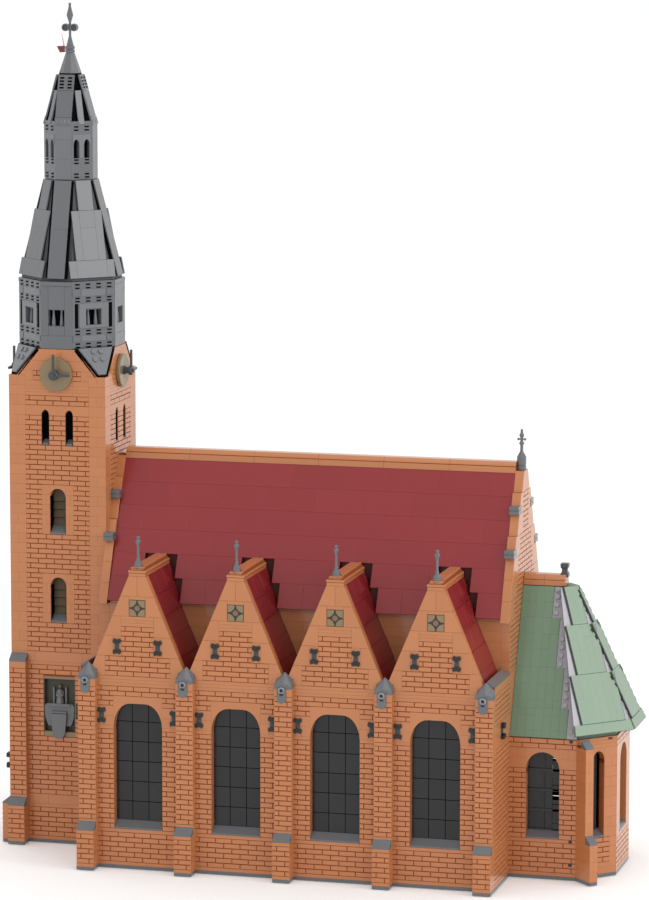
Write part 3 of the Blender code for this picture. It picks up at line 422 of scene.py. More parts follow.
LOW_STAGES = ((2, 1, 2, False), (2, 2, 11, True), (2, 11, 12, False), (1, 12, 15, False))
AISLE_STAGES = LOW_STAGES + ((1, 15, 42, True), (1, 42, 43, False), (1, 43, 55, True),
                             (1, 55, 57.2, False))
sides = (("south", facing(0, 0)), ("north", facing(50, 32, math.pi)))
for side, place in sides:
    walls = new_mesh()
    gables = new_mesh()
    shafts = new_mesh()
    for bay in range(4):
        aisle_bay(walls, place, 12 * bay)
        small_gable(gables, place, 12 * bay + 7)
    for number in range(5):
        buttress(shafts, place, 12 * number, AISLE_STAGES)
    piece("aisle_masonry_" + side, walls, clay)
    piece("gable_masonry_" + side, gables, clay)
    piece("buttress_masonry_" + side, shafts, clay)
    for bay in range(1, 5):
        recoat(f"aisle_bay_{side}_{bay}", clay_joint_shade)

# Aisle windows. Smoked clear panes, two pitches wide and six plates high, stand in a grid behind the
# wall, over a sloping slate-grey sill brick as wide as the opening. The solid glazing sheet behind them
# is black, as painted shade of the dark inside.
smoked_pane = moulded_plastic("smoked_clear_panes", (0.018, 0.018, 0.019), 0.2, 0.25, 0.03, 0.35)
# Black that stands for the shade in hollows, gaps and insides: painted shade, not a plastic of the model.
shade_black = moulded_plastic("black_painted_shade", (0.002, 0.002, 0.002), 0.9, gloss=0.05)
PANE_GAP = 0.00032


def window_panes(bm, place, left, right, columns, foot, top, step=6):
    """A grid of panes just behind the wall's inner face."""
    width = (right - left) / columns
    low = foot
    while low < top:
        for column in range(columns):
            near = left + column * width
            box(bm, place, near, near + width, low, min(low + step, top), -0.00806, -0.00828, PANE_GAP)
        low += step


def prism(bm, place, section, start, end):
    """A bar along a face's frame, from its section of (out, plates) points, out in pitches."""
    corners = [(start * STUD, -out * STUD, z * PLATE) for out, z in section]
    drawn_out(bm, place, corners, ((end - start) * STUD, 0, 0))


def window_sill(bm, place, left, right):
    """A sloping sill that fills the foot of an opening."""
    section = [(0.09, 12.05), (0.09, 12.5), (0.02, 12.62), (-0.93, 14.3), (-0.98, 14.3), (-0.98, 12.05)]
    prism(bm, place, section, left + 0.05, right - 0.05)


for side, place in sides:
    panes = new_mesh()
    sills = new_mesh()
    for left in range(0, 48, 12):
        window_panes(panes, place, left + 4, left + 10, 3, 14, 50)
        window_sill(sills, place, left + 4, left + 10)
    piece("aisle_panes_" + side, panes, smoked_pane, 0.00003)
    piece("aisle_sills_" + side, sills, slate)
    recoat("aisle_glazing_" + side, shade_black)

# Aisle ironwork. Black clasps joined by a short dark bar hang in pairs on the walls and the gables, like
# the iron plates at the ends of tie rods. Each is two clasp pieces pushed on a bar with a round boss.
# This black is the clasps' own colour; further on it also stands as painted shade in small holes and gaps.
black = moulded_plastic("black_plastic_and_painted_shade", (0.008, 0.008, 0.009), 0.28)
dark_bar = moulded_plastic("dark_grey_plastic", (0.045, 0.052, 0.058), 0.3)


def hull(bm, place, points):
    """A block through corner points of (pitches, pitches out, plates) in a face's frame."""
    verts = [bm.verts.new(place @ Vector((u * STUD, -out * STUD, z * PLATE))) for u, out, z in points]
    made = bmesh.ops.convex_hull(bm, input=verts)
    spare = [v for v in verts if not v.link_faces]
    bmesh.ops.delete(bm, geom=spare, context="VERTS")
    tint_faces(bm, [f for f in made["geom"] if isinstance(f, bmesh.types.BMFace)])


def turned(bm, matrix, profile, steps=16):
    """A turned piece about a matrix's Z axis, from (radius, height) points in metres."""
    before = set(bm.faces)
    verts = [bm.verts.new(matrix @ Vector((radius, 0, height))) for radius, height in profile]
    line = [bm.edges.new(pair) for pair in zip(verts, verts[1:])]
    axis = matrix.to_3x3() @ Vector((0, 0, 1))
    bmesh.ops.spin(bm, geom=verts + line, cent=matrix.translation, axis=axis, angle=4 * QUARTER,
                   steps=steps, use_merge=True)
    made = [f for f in bm.faces if f not in before]
    around = list({v for f in made for v in f.verts})
    bmesh.ops.remove_doubles(bm, verts=around, dist=0.00001)
    tint_faces(bm, [f for f in bm.faces if f not in before])


def in_metres(profile):
    """A turned piece's profile in metres, from points of (pitches, plates)."""
    return [(radius * STUD, height * PLATE) for radius, height in profile]


def outward(place, pitch, height, out=0.0):
    """The frame of a round piece that stands out of a face: its Z axis points outwards."""
    spot = Matrix.Translation((pitch * STUD, -out, height * PLATE))
    return place @ spot @ Matrix.Rotation(QUARTER, 4, "X")


def standing(place, pitch, out, height=0.0):
    """The frame of an upright turned piece in a face's frame, out in pitches, height in plates."""
    return place @ Matrix.Translation((pitch * STUD, -out * STUD, height * PLATE))


def wall_clasp(clasps, bars, place, middle, foot, bar=True, proud=0.0021):
    """Two clasps 16 mm apart over all, and the bar between them."""
    half = [(0.2, 1.75), (0.46, 1.4), (0.5, 0.75), (0.34, 0.12), (0.14, 0.42)]
    outline = half + [(-u, z) for u, z in reversed(half)]
    for sign, end in ((1, foot), (-1, foot + 5)):
        slab(clasps, place, [(middle + u, end + sign * z) for u, z in outline], proud, SUNK)
    rivet = [(0, 0), (0.0012, 0), (0.0012, 0.0027), (0, 0.0027)]
    for height in (0.95, 4.05):
        turned(clasps, outward(place, middle, foot + height), rivet, 8)
    if bar:
        box(bars, place, middle - 0.27, middle + 0.27, foot + 1.2, foot + 3.8, 0.0014, SUNK)
        boss = [(0, 0), (0.0017, 0), (0.0017, 0.002), (0.0011, 0.0023), (0.0011, 0.0018), (0, 0.0018)]
        turned(bars, outward(place, middle, foot + 2.5), boss, 12)
    else:
        for near in (middle - 0.36, middle + 0.18):
            box(bars, place, near, near + 0.18, foot + 1.2, foot + 3.8, 0.0014, SUNK)


for side, place in sides:
    clasps = new_mesh()
    bars = new_mesh()
    for left in range(0, 48, 12):
        for middle in (left + 2.55, left + 11.45):
            wall_clasp(clasps, bars, place, middle, 43.6)
        for middle in (left + 4.5, left + 9.5):
            wall_clasp(clasps, bars, place, middle, 64.4)
    piece("wall_clasps_" + side, clasps, black)
    piece("wall_clasp_bars_" + side, bars, dark_bar)
clasps = new_mesh()
bars = new_mesh()
end_faces = (("east", facing(50, 0, QUARTER)), ("west", facing(0, 32, -QUARTER)))
for side, place in end_faces:
    for middle in (3.5, 28.5):
        wall_clasp(clasps, bars, place, middle, 43.6, False, 0.0042)
piece("end_wall_clasps", clasps, black)
piece("end_wall_clasp_bars", bars, dark_bar)

# Gable rosettes. A square of four round-cornered olive-tan tiles leaves a four-pointed star open on a
# dark backing, with a small brown tile in the middle.
olive = moulded_plastic("olive_tan_plastic", (0.225, 0.165, 0.088), 0.25)
# This dark olive backs the rosettes, and it is also the painted shade in the niche further on.
dark_olive_and_niche_shade = moulded_plastic("dark_olive_plastic_and_painted_niche_shade", (0.035, 0.032, 0.014), 0.5)
brown = moulded_plastic("reddish_brown_plastic", (0.2, 0.11, 0.07), 0.3)
for side, place in sides:
    backing = new_mesh()
    corners = new_mesh()
    hearts = new_mesh()
    for middle in range(7, 48, 12):
        box(backing, place, middle - 0.99, middle + 0.99, 76.03, 80.97, 0.00015, SUNK)
        for across_sign, up_sign in ((-1, -1), (1, -1), (1, 1), (-1, 1)):
            corner_u = middle + across_sign * 0.94
            corner_z = 78.5 + up_sign * 2.35
            arc = [QUARTER * i / 6 for i in range(7)]
            outline = [(corner_u, corner_z)]
            outline += [(corner_u - across_sign * 0.86 * math.cos(a), corner_z - up_sign * 2.15 * math.sin(a))
                        for a in arc]
            slab(corners, place, outline, 0.00085, SUNK)
        outline = [(middle + 0.34 * math.cos(a), 78.5 + 0.85 * math.sin(a))
                   for a in [QUARTER * i / 3 for i in range(12)]]
        slab(hearts, place, outline, 0.0007, SUNK)
    piece("rosette_backing_" + side, backing, dark_olive_and_niche_shade)
    piece("rosette_tiles_" + side, corners, olive)
    piece("rosette_hearts_" + side, hearts, brown)

# Buttress caps. A slate-grey wedge covers each foot. A pointed grey block tops each shaft, with a narrow
# rounded plate below it that carries a pale ring. The ring's hollow and a small slot below it are black
# blocks as painted shade.
pale_grey = moulded_plastic("pale_grey_plastic", (0.26, 0.27, 0.285), 0.3)


def foot_cap(bm, place, left, width, low, reach):
    """The wedge over a buttress foot, two plates high and one pitch deep."""
    section = [(reach + 0.06, low + 0.02), (reach + 0.06, low + 0.4), (reach - 0.93, low + 2.35),
               (reach - 1, low + 2.35), (reach - 1, low + 0.02)]
    prism(bm, place, section, left - 0.05, left + width + 0.05)


def shaft_cap(bm, place, left):
    """A pointed block on an aisle buttress."""
    points = []
    for u in (left - 0.05, left + 2.05):
        points += [(u, 1.07, 57.2), (u, 1.07, 58.1), (u, 0.02, 57.2), (u, 0.02, 59.6)]
    hull(bm, place, points + [(left + 1, 1.07, 58.9), (left + 1, 0.06, 61.9)])


for side, place in sides:
    caps = new_mesh()
    rings = new_mesh()
    hollows = new_mesh()
    for left in range(0, 49, 12):
        foot_cap(caps, place, left, 2, 12, 2)
        shaft_cap(caps, place, left)
        middle = left + 0.85
        arc = [-QUARTER * (1 - i / 3) for i in range(7)]
        low = [(middle + 0.55 * math.sin(a), 54.2 - 1.2 * math.cos(a)) for a in arc]
        shift = place @ Matrix.Translation((0, -STUD, 0))
        slab(caps, shift, low + [(middle + 0.55, 57.7), (middle - 0.55, 57.7)], 0.0016, SUNK)
        ring = [(0.0017, 0), (0.0029, 0), (0.0031, 0.0008), (0.0025, 0.0016), (0.0019, 0.0012), (0.0017, 0)]
        turned(rings, outward(shift, middle, 56.9, 0.0015), ring, 16)
        # Black fills the ring's hollow and a slot below it, as painted shade.
        hollow = [(0, 0), (0.0018, 0), (0.0018, 0.0003), (0, 0.0003)]
        turned(hollows, outward(shift, middle, 56.7, 0.0015), hollow, 12)
        box(hollows, shift, middle - 0.2, middle + 0.2, 55.3, 55.9, 0.0019, SUNK)
    piece("buttress_caps_" + side, caps, slate)
    piece("buttress_rings_" + side, rings, pale_grey, 0)
    piece("buttress_ring_hollow_shades_" + side, hollows, black, 0)

# Gable tops. Each gable ends in a two-pitch-wide cap, from which two stacked bars run back to the main
# roof as a ridge. A turned grey finial of a dome, a rod and two beads stands on the cap.
dome_rod_beads = [(0, 90.4), (0.5, 90.4), (0.5, 91.1), (0.46, 91.3), (0.47, 91.75), (0.36, 92.2),
                  (0.24, 92.7), (0.22, 93.2), (0.17, 93.5), (0.155, 96.9), (0.2, 97.2), (0.25, 97.5),
                  (0.31, 97.9), (0.32, 98.4), (0.2, 98.8), (0.16, 99.0), (0.23, 99.2), (0.22, 99.6), (0, 99.8)]


def ridge_bar(bm, place, middle, half, low, high, front, back, chamfer=0.2):
    """A bar with chamfered upper edges that runs into the model from a face."""
    top = half - 0.06
    shoulder = high - chamfer
    slab(bm, place, [(middle - half, low), (middle + half, low), (middle + half, shoulder),
                     (middle + top, high), (middle - top, high), (middle - half, shoulder)], front, back)


for side, place in sides:
    ridges = new_mesh()
    finials = new_mesh()
    for middle in range(7, 48, 12):
        ridge_bar(ridges, place, middle, 1.02, 88.02, 88.9, 0.0005, -0.0775)
        ridge_bar(ridges, place, middle, 1.08, 89.05, 89.75, 0.0006, -0.0765)
        ridge_bar(ridges, place, middle, 0.74, 89.9, 90.75, 0.0003, -0.0085)
        ridge_bar(ridges, place, middle, 0.68, 89.9, 90.95, -0.0088, -0.0765)
        turned(finials, standing(place, middle, -0.5), in_metres(dome_rod_beads), 14)
    piece("gable_ridges_" + side, ridges, clay)
    piece("gable_finials_" + side, finials, slate, 0)

# Small roofs. Each aisle gable has its own pair of steep dark red slopes, laid in steps of bricks six
# plates high that meet in a valley between two gables. Their tiles are the main roof's dark red painted
# darker, as the shade that the walls and roofs around them cast.
CRIMSON = (0.243, 0.0155, 0.0185)
dark_red = moulded_plastic("dark_red_plastic", CRIMSON, 0.22, 0.06)
# The same dark red at 0.84, painted darker as the shade on the small roofs.
shaded_red = moulded_plastic("dark_red_painted_shade_small_roofs", tinted(CRIMSON, 0.84)[:3], 0.24, 0.06)
# The solid behind the roof tiles is the same dark red painted far darker, as the shade in the joints.
red_joint_shade = moulded_plastic("dark_red_painted_shade_in_joints", tinted(CRIMSON, 0.3)[:3], 0.6)


def slope(origin, along, up_slope):
    """The frame of a sloping face: X along it, Z up it, and -Y out of it."""
    x_axis = Vector(along).normalized()
    z_axis = Vector(up_slope).normalized()
    y_axis = z_axis.cross(x_axis)
    turn = Matrix((x_axis, y_axis, z_axis)).transposed().to_4x4()
    return Matrix.Translation(origin) @ turn


def spot(x, y, z):
    """A point of the model from pitches along, pitches across and plates up."""
    return Vector(((x - MIDDLE) * STUD, (y - CENTRE) * STUD, z * PLATE))


STEEP = math.hypot(5 * STUD, 30 * PLATE) / (30 * PLATE)
for side, mirror in (("south", 1), ("north", -1)):
    tiles = new_mesh()
    front = CENTRE - 15 * mirror
    for middle in range(7, 48, 12):
        for turn in (-1, 1):
            foot = spot(middle + 6 * turn, front, 58)
            face = slope(foot, (0, turn, 0), spot(middle + turn, front, 88) - foot)
            for row, reach in enumerate((7, 7, 7, 7.7, 8.9)):
                ends = joints_between(0, reach, 3 if row % 2 else 2, 3)
                for near, far in zip(ends, ends[1:]):
                    left, right = (near, far) if turn * mirror > 0 else (-far, -near)
                    lift = 0.0006 + 0.00035 * (row % 2)
                    box(tiles, face, left, right, 6 * row * STEEP, 6 * (row + 1) * STEEP, lift, -0.0004, 0.0001)
    piece("small_roof_tiles_" + side, tiles, shaded_red)
    recoat("aisle_roof_" + side, red_joint_shade)

# End walls of the nave. They are built like the aisles and rise in stepped gables, whose tops are
# steep sloping bricks with a grey block under every second one.


def end_wall(bm, place):
    """One end of the nave and both aisles, from south to north as seen from the east."""
    for left, right in ((0, 8), (24, 32)):
        wall_foot(bm, place, left, right, 6, 4)
        masonry(bm, place, left, right, 12, 42)
        smooth_rows(bm, place, left, right, (42, 43, 46, 49), 4)
        masonry(bm, place, left, right, 49, 58)
        smooth_rows(bm, place, left, right, (58, 59, 60.4), 4)
    smooth_rows(bm, place, 8, 24, (42, 43, 46, 49, 52, 55, 58, 61), 8)
    masonry(bm, place, 8, 24, 61, 76)
    for half, low in ((6, 76), (5, 82), (4, 88), (3, 94)):
        masonry(bm, place, 16 - half, 16 + half, low, low + 6)
    masonry(bm, place, 14.5, 17.5, 100, 112)


def parapet(bm, place):
    """The sloping bricks along a main gable's edge, each 6 plates high, as deep as the wall."""
    inner = (6, 5, 4, 3, 1.5, 1.5, 0)
    reach = ((9, 8), (8, 7), (7, 6), (6, 5), (4.5, 3.5), (3.5, 2.5), (2, 1))
    for level, (outside, inside) in enumerate(reach):
        low = 76 + 6 * level
        for side in (-1, 1):
            stop = 16 + side * inner[level]
            outline = [(16 + side * (outside + 0.04), low + 0.03),
                       (16 + side * (inside + 0.04), low + 5.97), (stop, low + 5.97), (stop, low + 0.03)]
            slab(bm, place, outline, PROUD, -STUD)


def coping(bm, place):
    """The sloping slate-grey tiles on an aisle end's top."""
    for left, right in ((0.05, 7.95), (24.05, 31.95)):
        prism(bm, place, [(0.06, 60.4), (0.06, 60.9), (-0.95, 62.1), (-0.95, 60.4)], left, right)


copings = new_mesh()
for side, place in end_faces:
    walls = new_mesh()
    edges = new_mesh()
    end_wall(walls, place)
    for left, right in ((8, 10), (22, 24)) if side == "west" else ():
        wall_foot(walls, place, left, right, 2, 2)
        masonry(walls, place, left, right, 12, 42)
    parapet(edges, place)
    coping(copings, place)
    for reach, turn in ((8, -QUARTER), (24, QUARTER)):
        cheek = place @ Matrix.Translation((reach * STUD, 0, 0)) @ Matrix.Rotation(turn, 4, "Z")
        left, right = (-1, 0) if turn < 0 else (0, 1)
        smooth_rows(walls, cheek, left, right, (61, 64, 67, 70, 73, 76), 2)
    piece("end_masonry_" + side, walls, clay)
    piece("gable_parapet_" + side, edges, clay)
    recoat("nave_wall_" + side, clay_joint_shade)
piece("aisle_end_copings", copings, slate)

# Clerestory. The nave's own side walls show only between the small roofs and under the main eaves,
# and are laid from plain smooth bricks.
for side, place in (("south", facing(0, 8)), ("north", facing(50, 24, math.pi))):
    walls = new_mesh()
    smooth_rows(walls, place, 1, 49, tuple(range(58, 76, 3)) + (76,), 8)
    piece("clerestory_bricks_" + side, walls, clay)
    recoat("clerestory_wall_" + side, clay)

# Tower walls. The same masonry bricks between plain corner strips, with two smooth bands, two tall
# bell windows one above the other, and a pair of narrow lancets under each gable.


def bell_window(bm, place, sill):
    """The smooth bricks around a bell window, and its jambs."""
    rows = [sill, sill + 3, sill + 6, sill + 9, sill + 12]
    for left, right in ((4, 5), (7, 8)):
        smooth_rows(bm, place, left, right, rows, 1)
        smooth_rows(bm, place, left, right, (sill + 12, sill + 15), 1)
    jambs(bm, place, 5, 7, sill, sill + 10.8)
    arch_stone(bm, place, 6, 2, sill + 14, 1, 2.5, sill + 15)


def tower_side(bm, place, bells, niche, foot, near, far):
    """One face of the tower, 12 pitches wide."""
    if foot < 59:
        smooth_rows(bm, place, near, far, (1, 2), 5)
        masonry(bm, place, near, far, 2, 11, 1)
        smooth_rows(bm, place, near, far, (11, 12, 15), 5)
        masonry(bm, place, near, far, 15, 33)
        if niche:
            smooth_rows(bm, place, near, 4, (42, 43), 4)
            smooth_rows(bm, place, 8, far, (42, 43), 4)
            masonry(bm, place, near, 4, 33, 42)
            masonry(bm, place, 8, far, 33, 42)
            masonry(bm, place, near, 4, 43, 52)
            masonry(bm, place, 8, far, 43, 52)
        else:
            masonry(bm, place, near, far, 33, 42)
            smooth_rows(bm, place, near, far, (42, 43), 4)
            masonry(bm, place, near, far, 43, 52)
        masonry(bm, place, near, far, 52, 55)
        smooth_rows(bm, place, 0, 12, (55, 56, 59), 6, (LAP, LAP))
    heights = tuple(range(59, 143, 3)) + (143,)
    smooth_rows(bm, place, 0, 2, heights, 2, (LAP, 0))
    smooth_rows(bm, place, 10, 12, heights, 2, (0, LAP))
    stretches = ((59, 68), (83, 95), (110, 122)) if bells else ((59, 122),)
    for low, high in stretches:
        masonry(bm, place, 2, 10, low, high)
    if bells:
        for sill in (68, 95):
            masonry(bm, place, 2, 4, sill, sill + 15)
            masonry(bm, place, 8, 10, sill, sill + 15)
            bell_window(bm, place, sill)
    for left, right in ((2, 4), (5, 7), (8, 10)):
        masonry(bm, place, left, right, 122, 131)
    for left in (4, 7):
        jambs(bm, place, left, left + 1, 122, 131)
        arch_stone(bm, place, left + 0.5, 1, 132.8, 0.5, 1.6, 134)
    for left, right in ((2, 4), (5, 7), (8, 10)):
        smooth_rows(bm, place, left, right, (131, 134), 2)
    masonry(bm, place, 2, 10, 134, 137)
    smooth_rows(bm, place, 2, 10, (137, 138, 139, 140), 6)
    smooth_rows(bm, place, 2, 10, (140, 141.5), 6)
    for left, right in ((3, 4), (8, 9)):
        masonry(bm, place, left, right, 141.5, 144.5)
    smooth_rows(bm, place, 4, 8, (141.5, 144.5), 4)
    for side in (-1, 1):
        for outline, back in (([(4.96, 143.03), (4.46, 144.5), (3.01, 144.5), (3.01, 141.53), (4, 141.53),
                                (4, 143.03)], SUNK),
                              ([(4.46, 144.53), (3.5, 147.5), (0, 147.5), (0, 144.53)], SUNK),
                              ([(3.5, 147.53), (2.35, 151), (0, 151), (0, 147.53)], SUNK),
                              ([(5.05, 143), (2.38, 151.05), (2.2, 150.6), (4.8, 142.8)], -STUD)):
            slab(bm, place, [(6 + side * u, z) for u, z in outline], PROUD, back)


tower_faces = (("south", facing(-12, 10, 0, TOWER_SHIFT), True, True, 2),
               ("east", facing(0, 10, QUARTER, TOWER_SHIFT), False, False, 59),
               ("north", facing(0, 22, math.pi, TOWER_SHIFT), True, False, 2),
               ("west", facing(-12, 22, -QUARTER, TOWER_SHIFT), True, False, 2))
for side, place, bells, niche, foot in tower_faces:
    walls = new_mesh()
    near, far = {"north": (0, 10), "west": (0, 12)}.get(side, (2, 12))
    tower_side(walls, place, bells, niche, foot, near, far)
    piece("tower_masonry_" + side, walls, clay)
    recoat("tower_wall_" + side, clay_joint_shade)

# Tower corner buttresses: a tall shaft on the niche side and its mirror image, each on a foot that
# turns the corner, capped with sloping grey bricks.
corner_shafts = (("southwest", tower_faces[0][1], facing(-12, 12, -QUARTER, TOWER_SHIFT), 0, 0),
                 ("northwest", tower_faces[2][1], facing(-12, 24, -QUARTER, TOWER_SHIFT), 10, 1))
for side, place, west, left, start in corner_shafts:
    shaft = new_mesh()
    buttress(shaft, place, left, LOW_STAGES + ((1, 15, 54, True), (1, 54, 56, False)))
    buttress(shaft, west, start, ((1, 1, 2, False), (1, 2, 11, True), (1, 11, 12, False)), 3)
    piece("corner_masonry_" + side, shaft, clay)
    recoat("tower_buttress_" + side, clay_joint_shade)

# Chancel and apse walls. The chancel's sides are masonry round a wide arched window, and the apse's
# slanting sides are smooth bricks with tall lancets and a small patch of masonry.
SLANT = 4 * math.sqrt(2)
chancel_faces = (("south", facing(50, 8, 0, CHANCEL_SHIFT)),
                 ("north", facing(58, 24, math.pi, CHANCEL_SHIFT)))
for side, place in chancel_faces:
    walls = new_mesh()
    wall_foot(walls, place, 0, 8, 4, 4)
    for left, right in ((0, 2), (6, 8)):
        masonry(walls, place, left, right, 12, 33)
        smooth_rows(walls, place, left, right, (33, 36, 39), 2)
    jambs(walls, place, 2, 6, 12, 31.5)
    arch_stone(walls, place, 4, 4, 38, 2, 5, 39)
    masonry(walls, place, 0, 8, 39, 42)
    piece("chancel_masonry_" + side, walls, clay)
    recoat("chancel_wall_" + side, clay_joint_shade)
apse_faces = (("southeast", facing(58, 8, QUARTER / 2, CHANCEL_SHIFT), SLANT, 3.1),
              ("east", facing(62, 12, QUARTER, CHANCEL_SHIFT), 8, 4),
              ("northeast", facing(62, 20, 3 * QUARTER / 2, CHANCEL_SHIFT), SLANT, SLANT - 3.1))
for side, place, length, middle in apse_faces:
    walls = new_mesh()
    half = 2 if side == "east" else 0.8
    near = middle - half
    far = middle + half
    if side == "east":
        wall_foot(walls, place, 0, length, 4, 4)
        masonry(walls, place, 0, length, 39, 42)
    else:
        patch = (middle - 0.8, middle + 1.6) if side == "southeast" else (middle - 1.6, middle + 0.8)
        smooth_rows(walls, place, 0, length, (1, 3), 6)
        smooth_rows(walls, place, 0, patch[0], (3, 6, 9, 12), 2)
        smooth_rows(walls, place, *patch, (3, 4.5), 2)
        masonry(walls, place, *patch, 4.5, 12)
        smooth_rows(walls, place, patch[1], length, (3, 6, 9, 12), 2)
        smooth_rows(walls, place, 0, length, (39, 40, 41, 42), 6)
    rows = range(12, 40, 3)
    smooth_rows(walls, place, 0, near, rows, 2)
    smooth_rows(walls, place, far, length, rows, 2)
    jambs(walls, place, near, far, 12, 34)
    arch_stone(walls, place, middle, 2 * half, 38, half, 5 if side == "east" else 2.6, 39)
    piece("apse_bricks_" + side, walls, clay)
    recoat("apse_wall_" + side, clay_joint_shade)

# Apse buttresses: one pitch thick, of smooth bricks, with a long foot and a shorter shaft.
thin_buttresses = (("southeast", apse_faces[0][1], 0), ("northeast", apse_faces[2][1], SLANT - 1))
for side, place, left in thin_buttresses:
    shaft = new_mesh()
    buttress(shaft, place, left, ((3, 1, 12, False), (2, 12, 40, False)), 1)
    piece("apse_buttress_bricks_" + side, shaft, clay)
    recoat("apse_buttress_" + side, clay_joint_shade)

# Main roof. Steep dark red slopes laid in six rows of long smooth slope bricks, with stepped notches
# where the small roofs' ridges run in, and a clay-orange ridge of two stacked bars along the top.


def trimmed(outline, start, end):
    """The part of a convex outline on the left of a line."""
    def side_of(point):
        return (end[0] - start[0]) * (point[1] - start[1]) - (end[1] - start[1]) * (point[0] - start[0])
    kept = []
    for here, there in zip(outline, outline[1:] + outline[:1]):
        a, b = side_of(here), side_of(there)
        if a >= 0:
            kept.append(here)
        if (a >= 0) != (b >= 0):
            t = a / (a - b)
            kept.append((here[0] + t * (there[0] - here[0]), here[1] + t * (there[1] - here[1])))
    return kept


def tile(bm, place, left, right, foot, top, front, back, cuts=(), gap=0.0):
    """A flat tile in a slope's frame, cut off along straight lines."""
    gap_u = gap / STUD
    gap_z = gap / PLATE
    outline = [(left + gap_u, foot + gap_z), (right - gap_u, foot + gap_z),
               (right - gap_u, top - gap_z), (left + gap_u, top - gap_z)]
    for start, end in cuts:
        outline = trimmed(outline, start, end)
    if len(outline) > 2:
        slab(bm, place, outline, front, back)


def ridge_cap(bm, place, low, high, front, back):
    """The upper bar of a roof's ridge, whose sides lean in."""
    section = [(-1.0, low), (1.0, low), (0.95, low + 0.45), (0.6, high), (-0.6, high), (-0.95, low + 0.45)]
    slab(bm, place, section, front, back)


ROOF_LEAN = math.hypot(7.68 * STUD, 40 * PLATE) / (40 * PLATE)
ROOF_ROWS = (77.08, 84, 90.7, 97.4, 104.1, 110.7, 117.2)
NOTCHES = ((6, 77, 84), (4, 84, 90.7))
ridge = new_mesh()
for side, turn in (("south", 1), ("north", -1)):
    tiles = new_mesh()
    foot = spot(25, CENTRE - 8.8 * turn, 77)
    face = slope(foot, (turn, 0, 0), spot(25, CENTRE - 1.12 * turn, 117) - foot)
    for row in range(6):
        low, high = ROOF_ROWS[row], ROOF_ROWS[row + 1]
        stops = [-23.98, 23.98]
        if row < 2:
            width = NOTCHES[row][0]
            for bay in range(4):
                middle = turn * (12 * bay + 7 - 25)
                stops += [middle - width / 2, middle + width / 2]
        stops.sort()
        for near, far in zip(stops[::2], stops[1::2]):
            first = -24 + (row % 2) * 3
            while first < near + 0.3:
                first += 6
            ends = joints_between(near, far, first, 6)
            for left, right in zip(ends, ends[1:]):
                box(tiles, face, left, right, (low - 77) * ROOF_LEAN, (high - 77) * ROOF_LEAN,
                    0.0003, -0.0004, SEAM)
    piece("main_roof_tiles_" + side, tiles, dark_red)
    recoat("main_roof_" + side, red_joint_shade)
end_on = facing(1, 16, -QUARTER)
for near in range(0, 48, 8):
    front = -near * STUD - 0.0001
    back = -(near + 8) * STUD + 0.0001
    ridge_bar(ridge, end_on, 0, 1.04, 117.25, 119.05, front, back, 0.1)
    ridge_cap(ridge, end_on, 119.25, 120.5, front, back)
piece("main_ridge_bars", ridge, clay)
recoat("main_roof_ridge", clay_joint_shade)

# Kneelers and the finial over the apse end. Grey blocks stick out under every second parapet brick, and
# a grey turned finial with two small side knobs stands on the gable's top.
blocks = new_mesh()
for side, place in end_faces:
    for half, low in ((5.7, 94.1), (3.1, 106.1)):
        for turn in (-1, 1):
            near = 16 + turn * (half - 0.55)
            far = 16 + turn * (half + 1.05)
            left, right = min(near, far), max(near, far)
            for foot in (low, low + 1.25):
                box(blocks, place, left, right, foot, foot + 1.12, 0.0009, -STUD - 0.0006)
            box(blocks, place, left + 0.1, right - 0.1, low + 1.0, low + 1.4, 0.0004, -STUD)
piece("parapet_kneelers", blocks, slate, 0.0002)
finial = new_mesh()
stem = [(0, 117.9), (0.56, 117.9), (0.56, 119.2), (0.5, 119.3), (0.5, 119.5), (0.56, 119.6), (0.56, 121.9),
        (0.5, 122.1), (0.42, 122.5), (0.25, 123.2), (0.19, 123.6), (0.18, 125.4), (0.3, 125.7), (0.3, 126.1),
        (0.18, 126.4), (0.18, 127.6), (0.28, 128.1), (0.28, 128.5), (0.17, 128.9), (0.13, 130), (0, 130.2)]
turned(finial, facing(49.5, 16), in_metres(stem), 16)
knob = [(0, 0.0008), (0.0007, 0.0008), (0.0007, 0.0022), (0.0012, 0.0026), (0.0014, 0.0033),
        (0.0009, 0.0041), (0, 0.0043)]
for turn in (-1, 1):
    arm = standing(facing(49.5, 16), 0, 0, 127.1) @ Matrix.Rotation(turn * QUARTER, 4, "Y")
    turned(finial, arm, knob, 10)
piece("apse_end_finial", finial, slate, 0)
# A copy of the slate grey at 0.3, painted darker as the shade on solids seen only in gaps and under pieces.
slate_shade = moulded_plastic("slate_grey_painted_shade", tinted(GREY, 0.3)[:3], 0.5)
recoat("east_gable_finial", slate_shade)

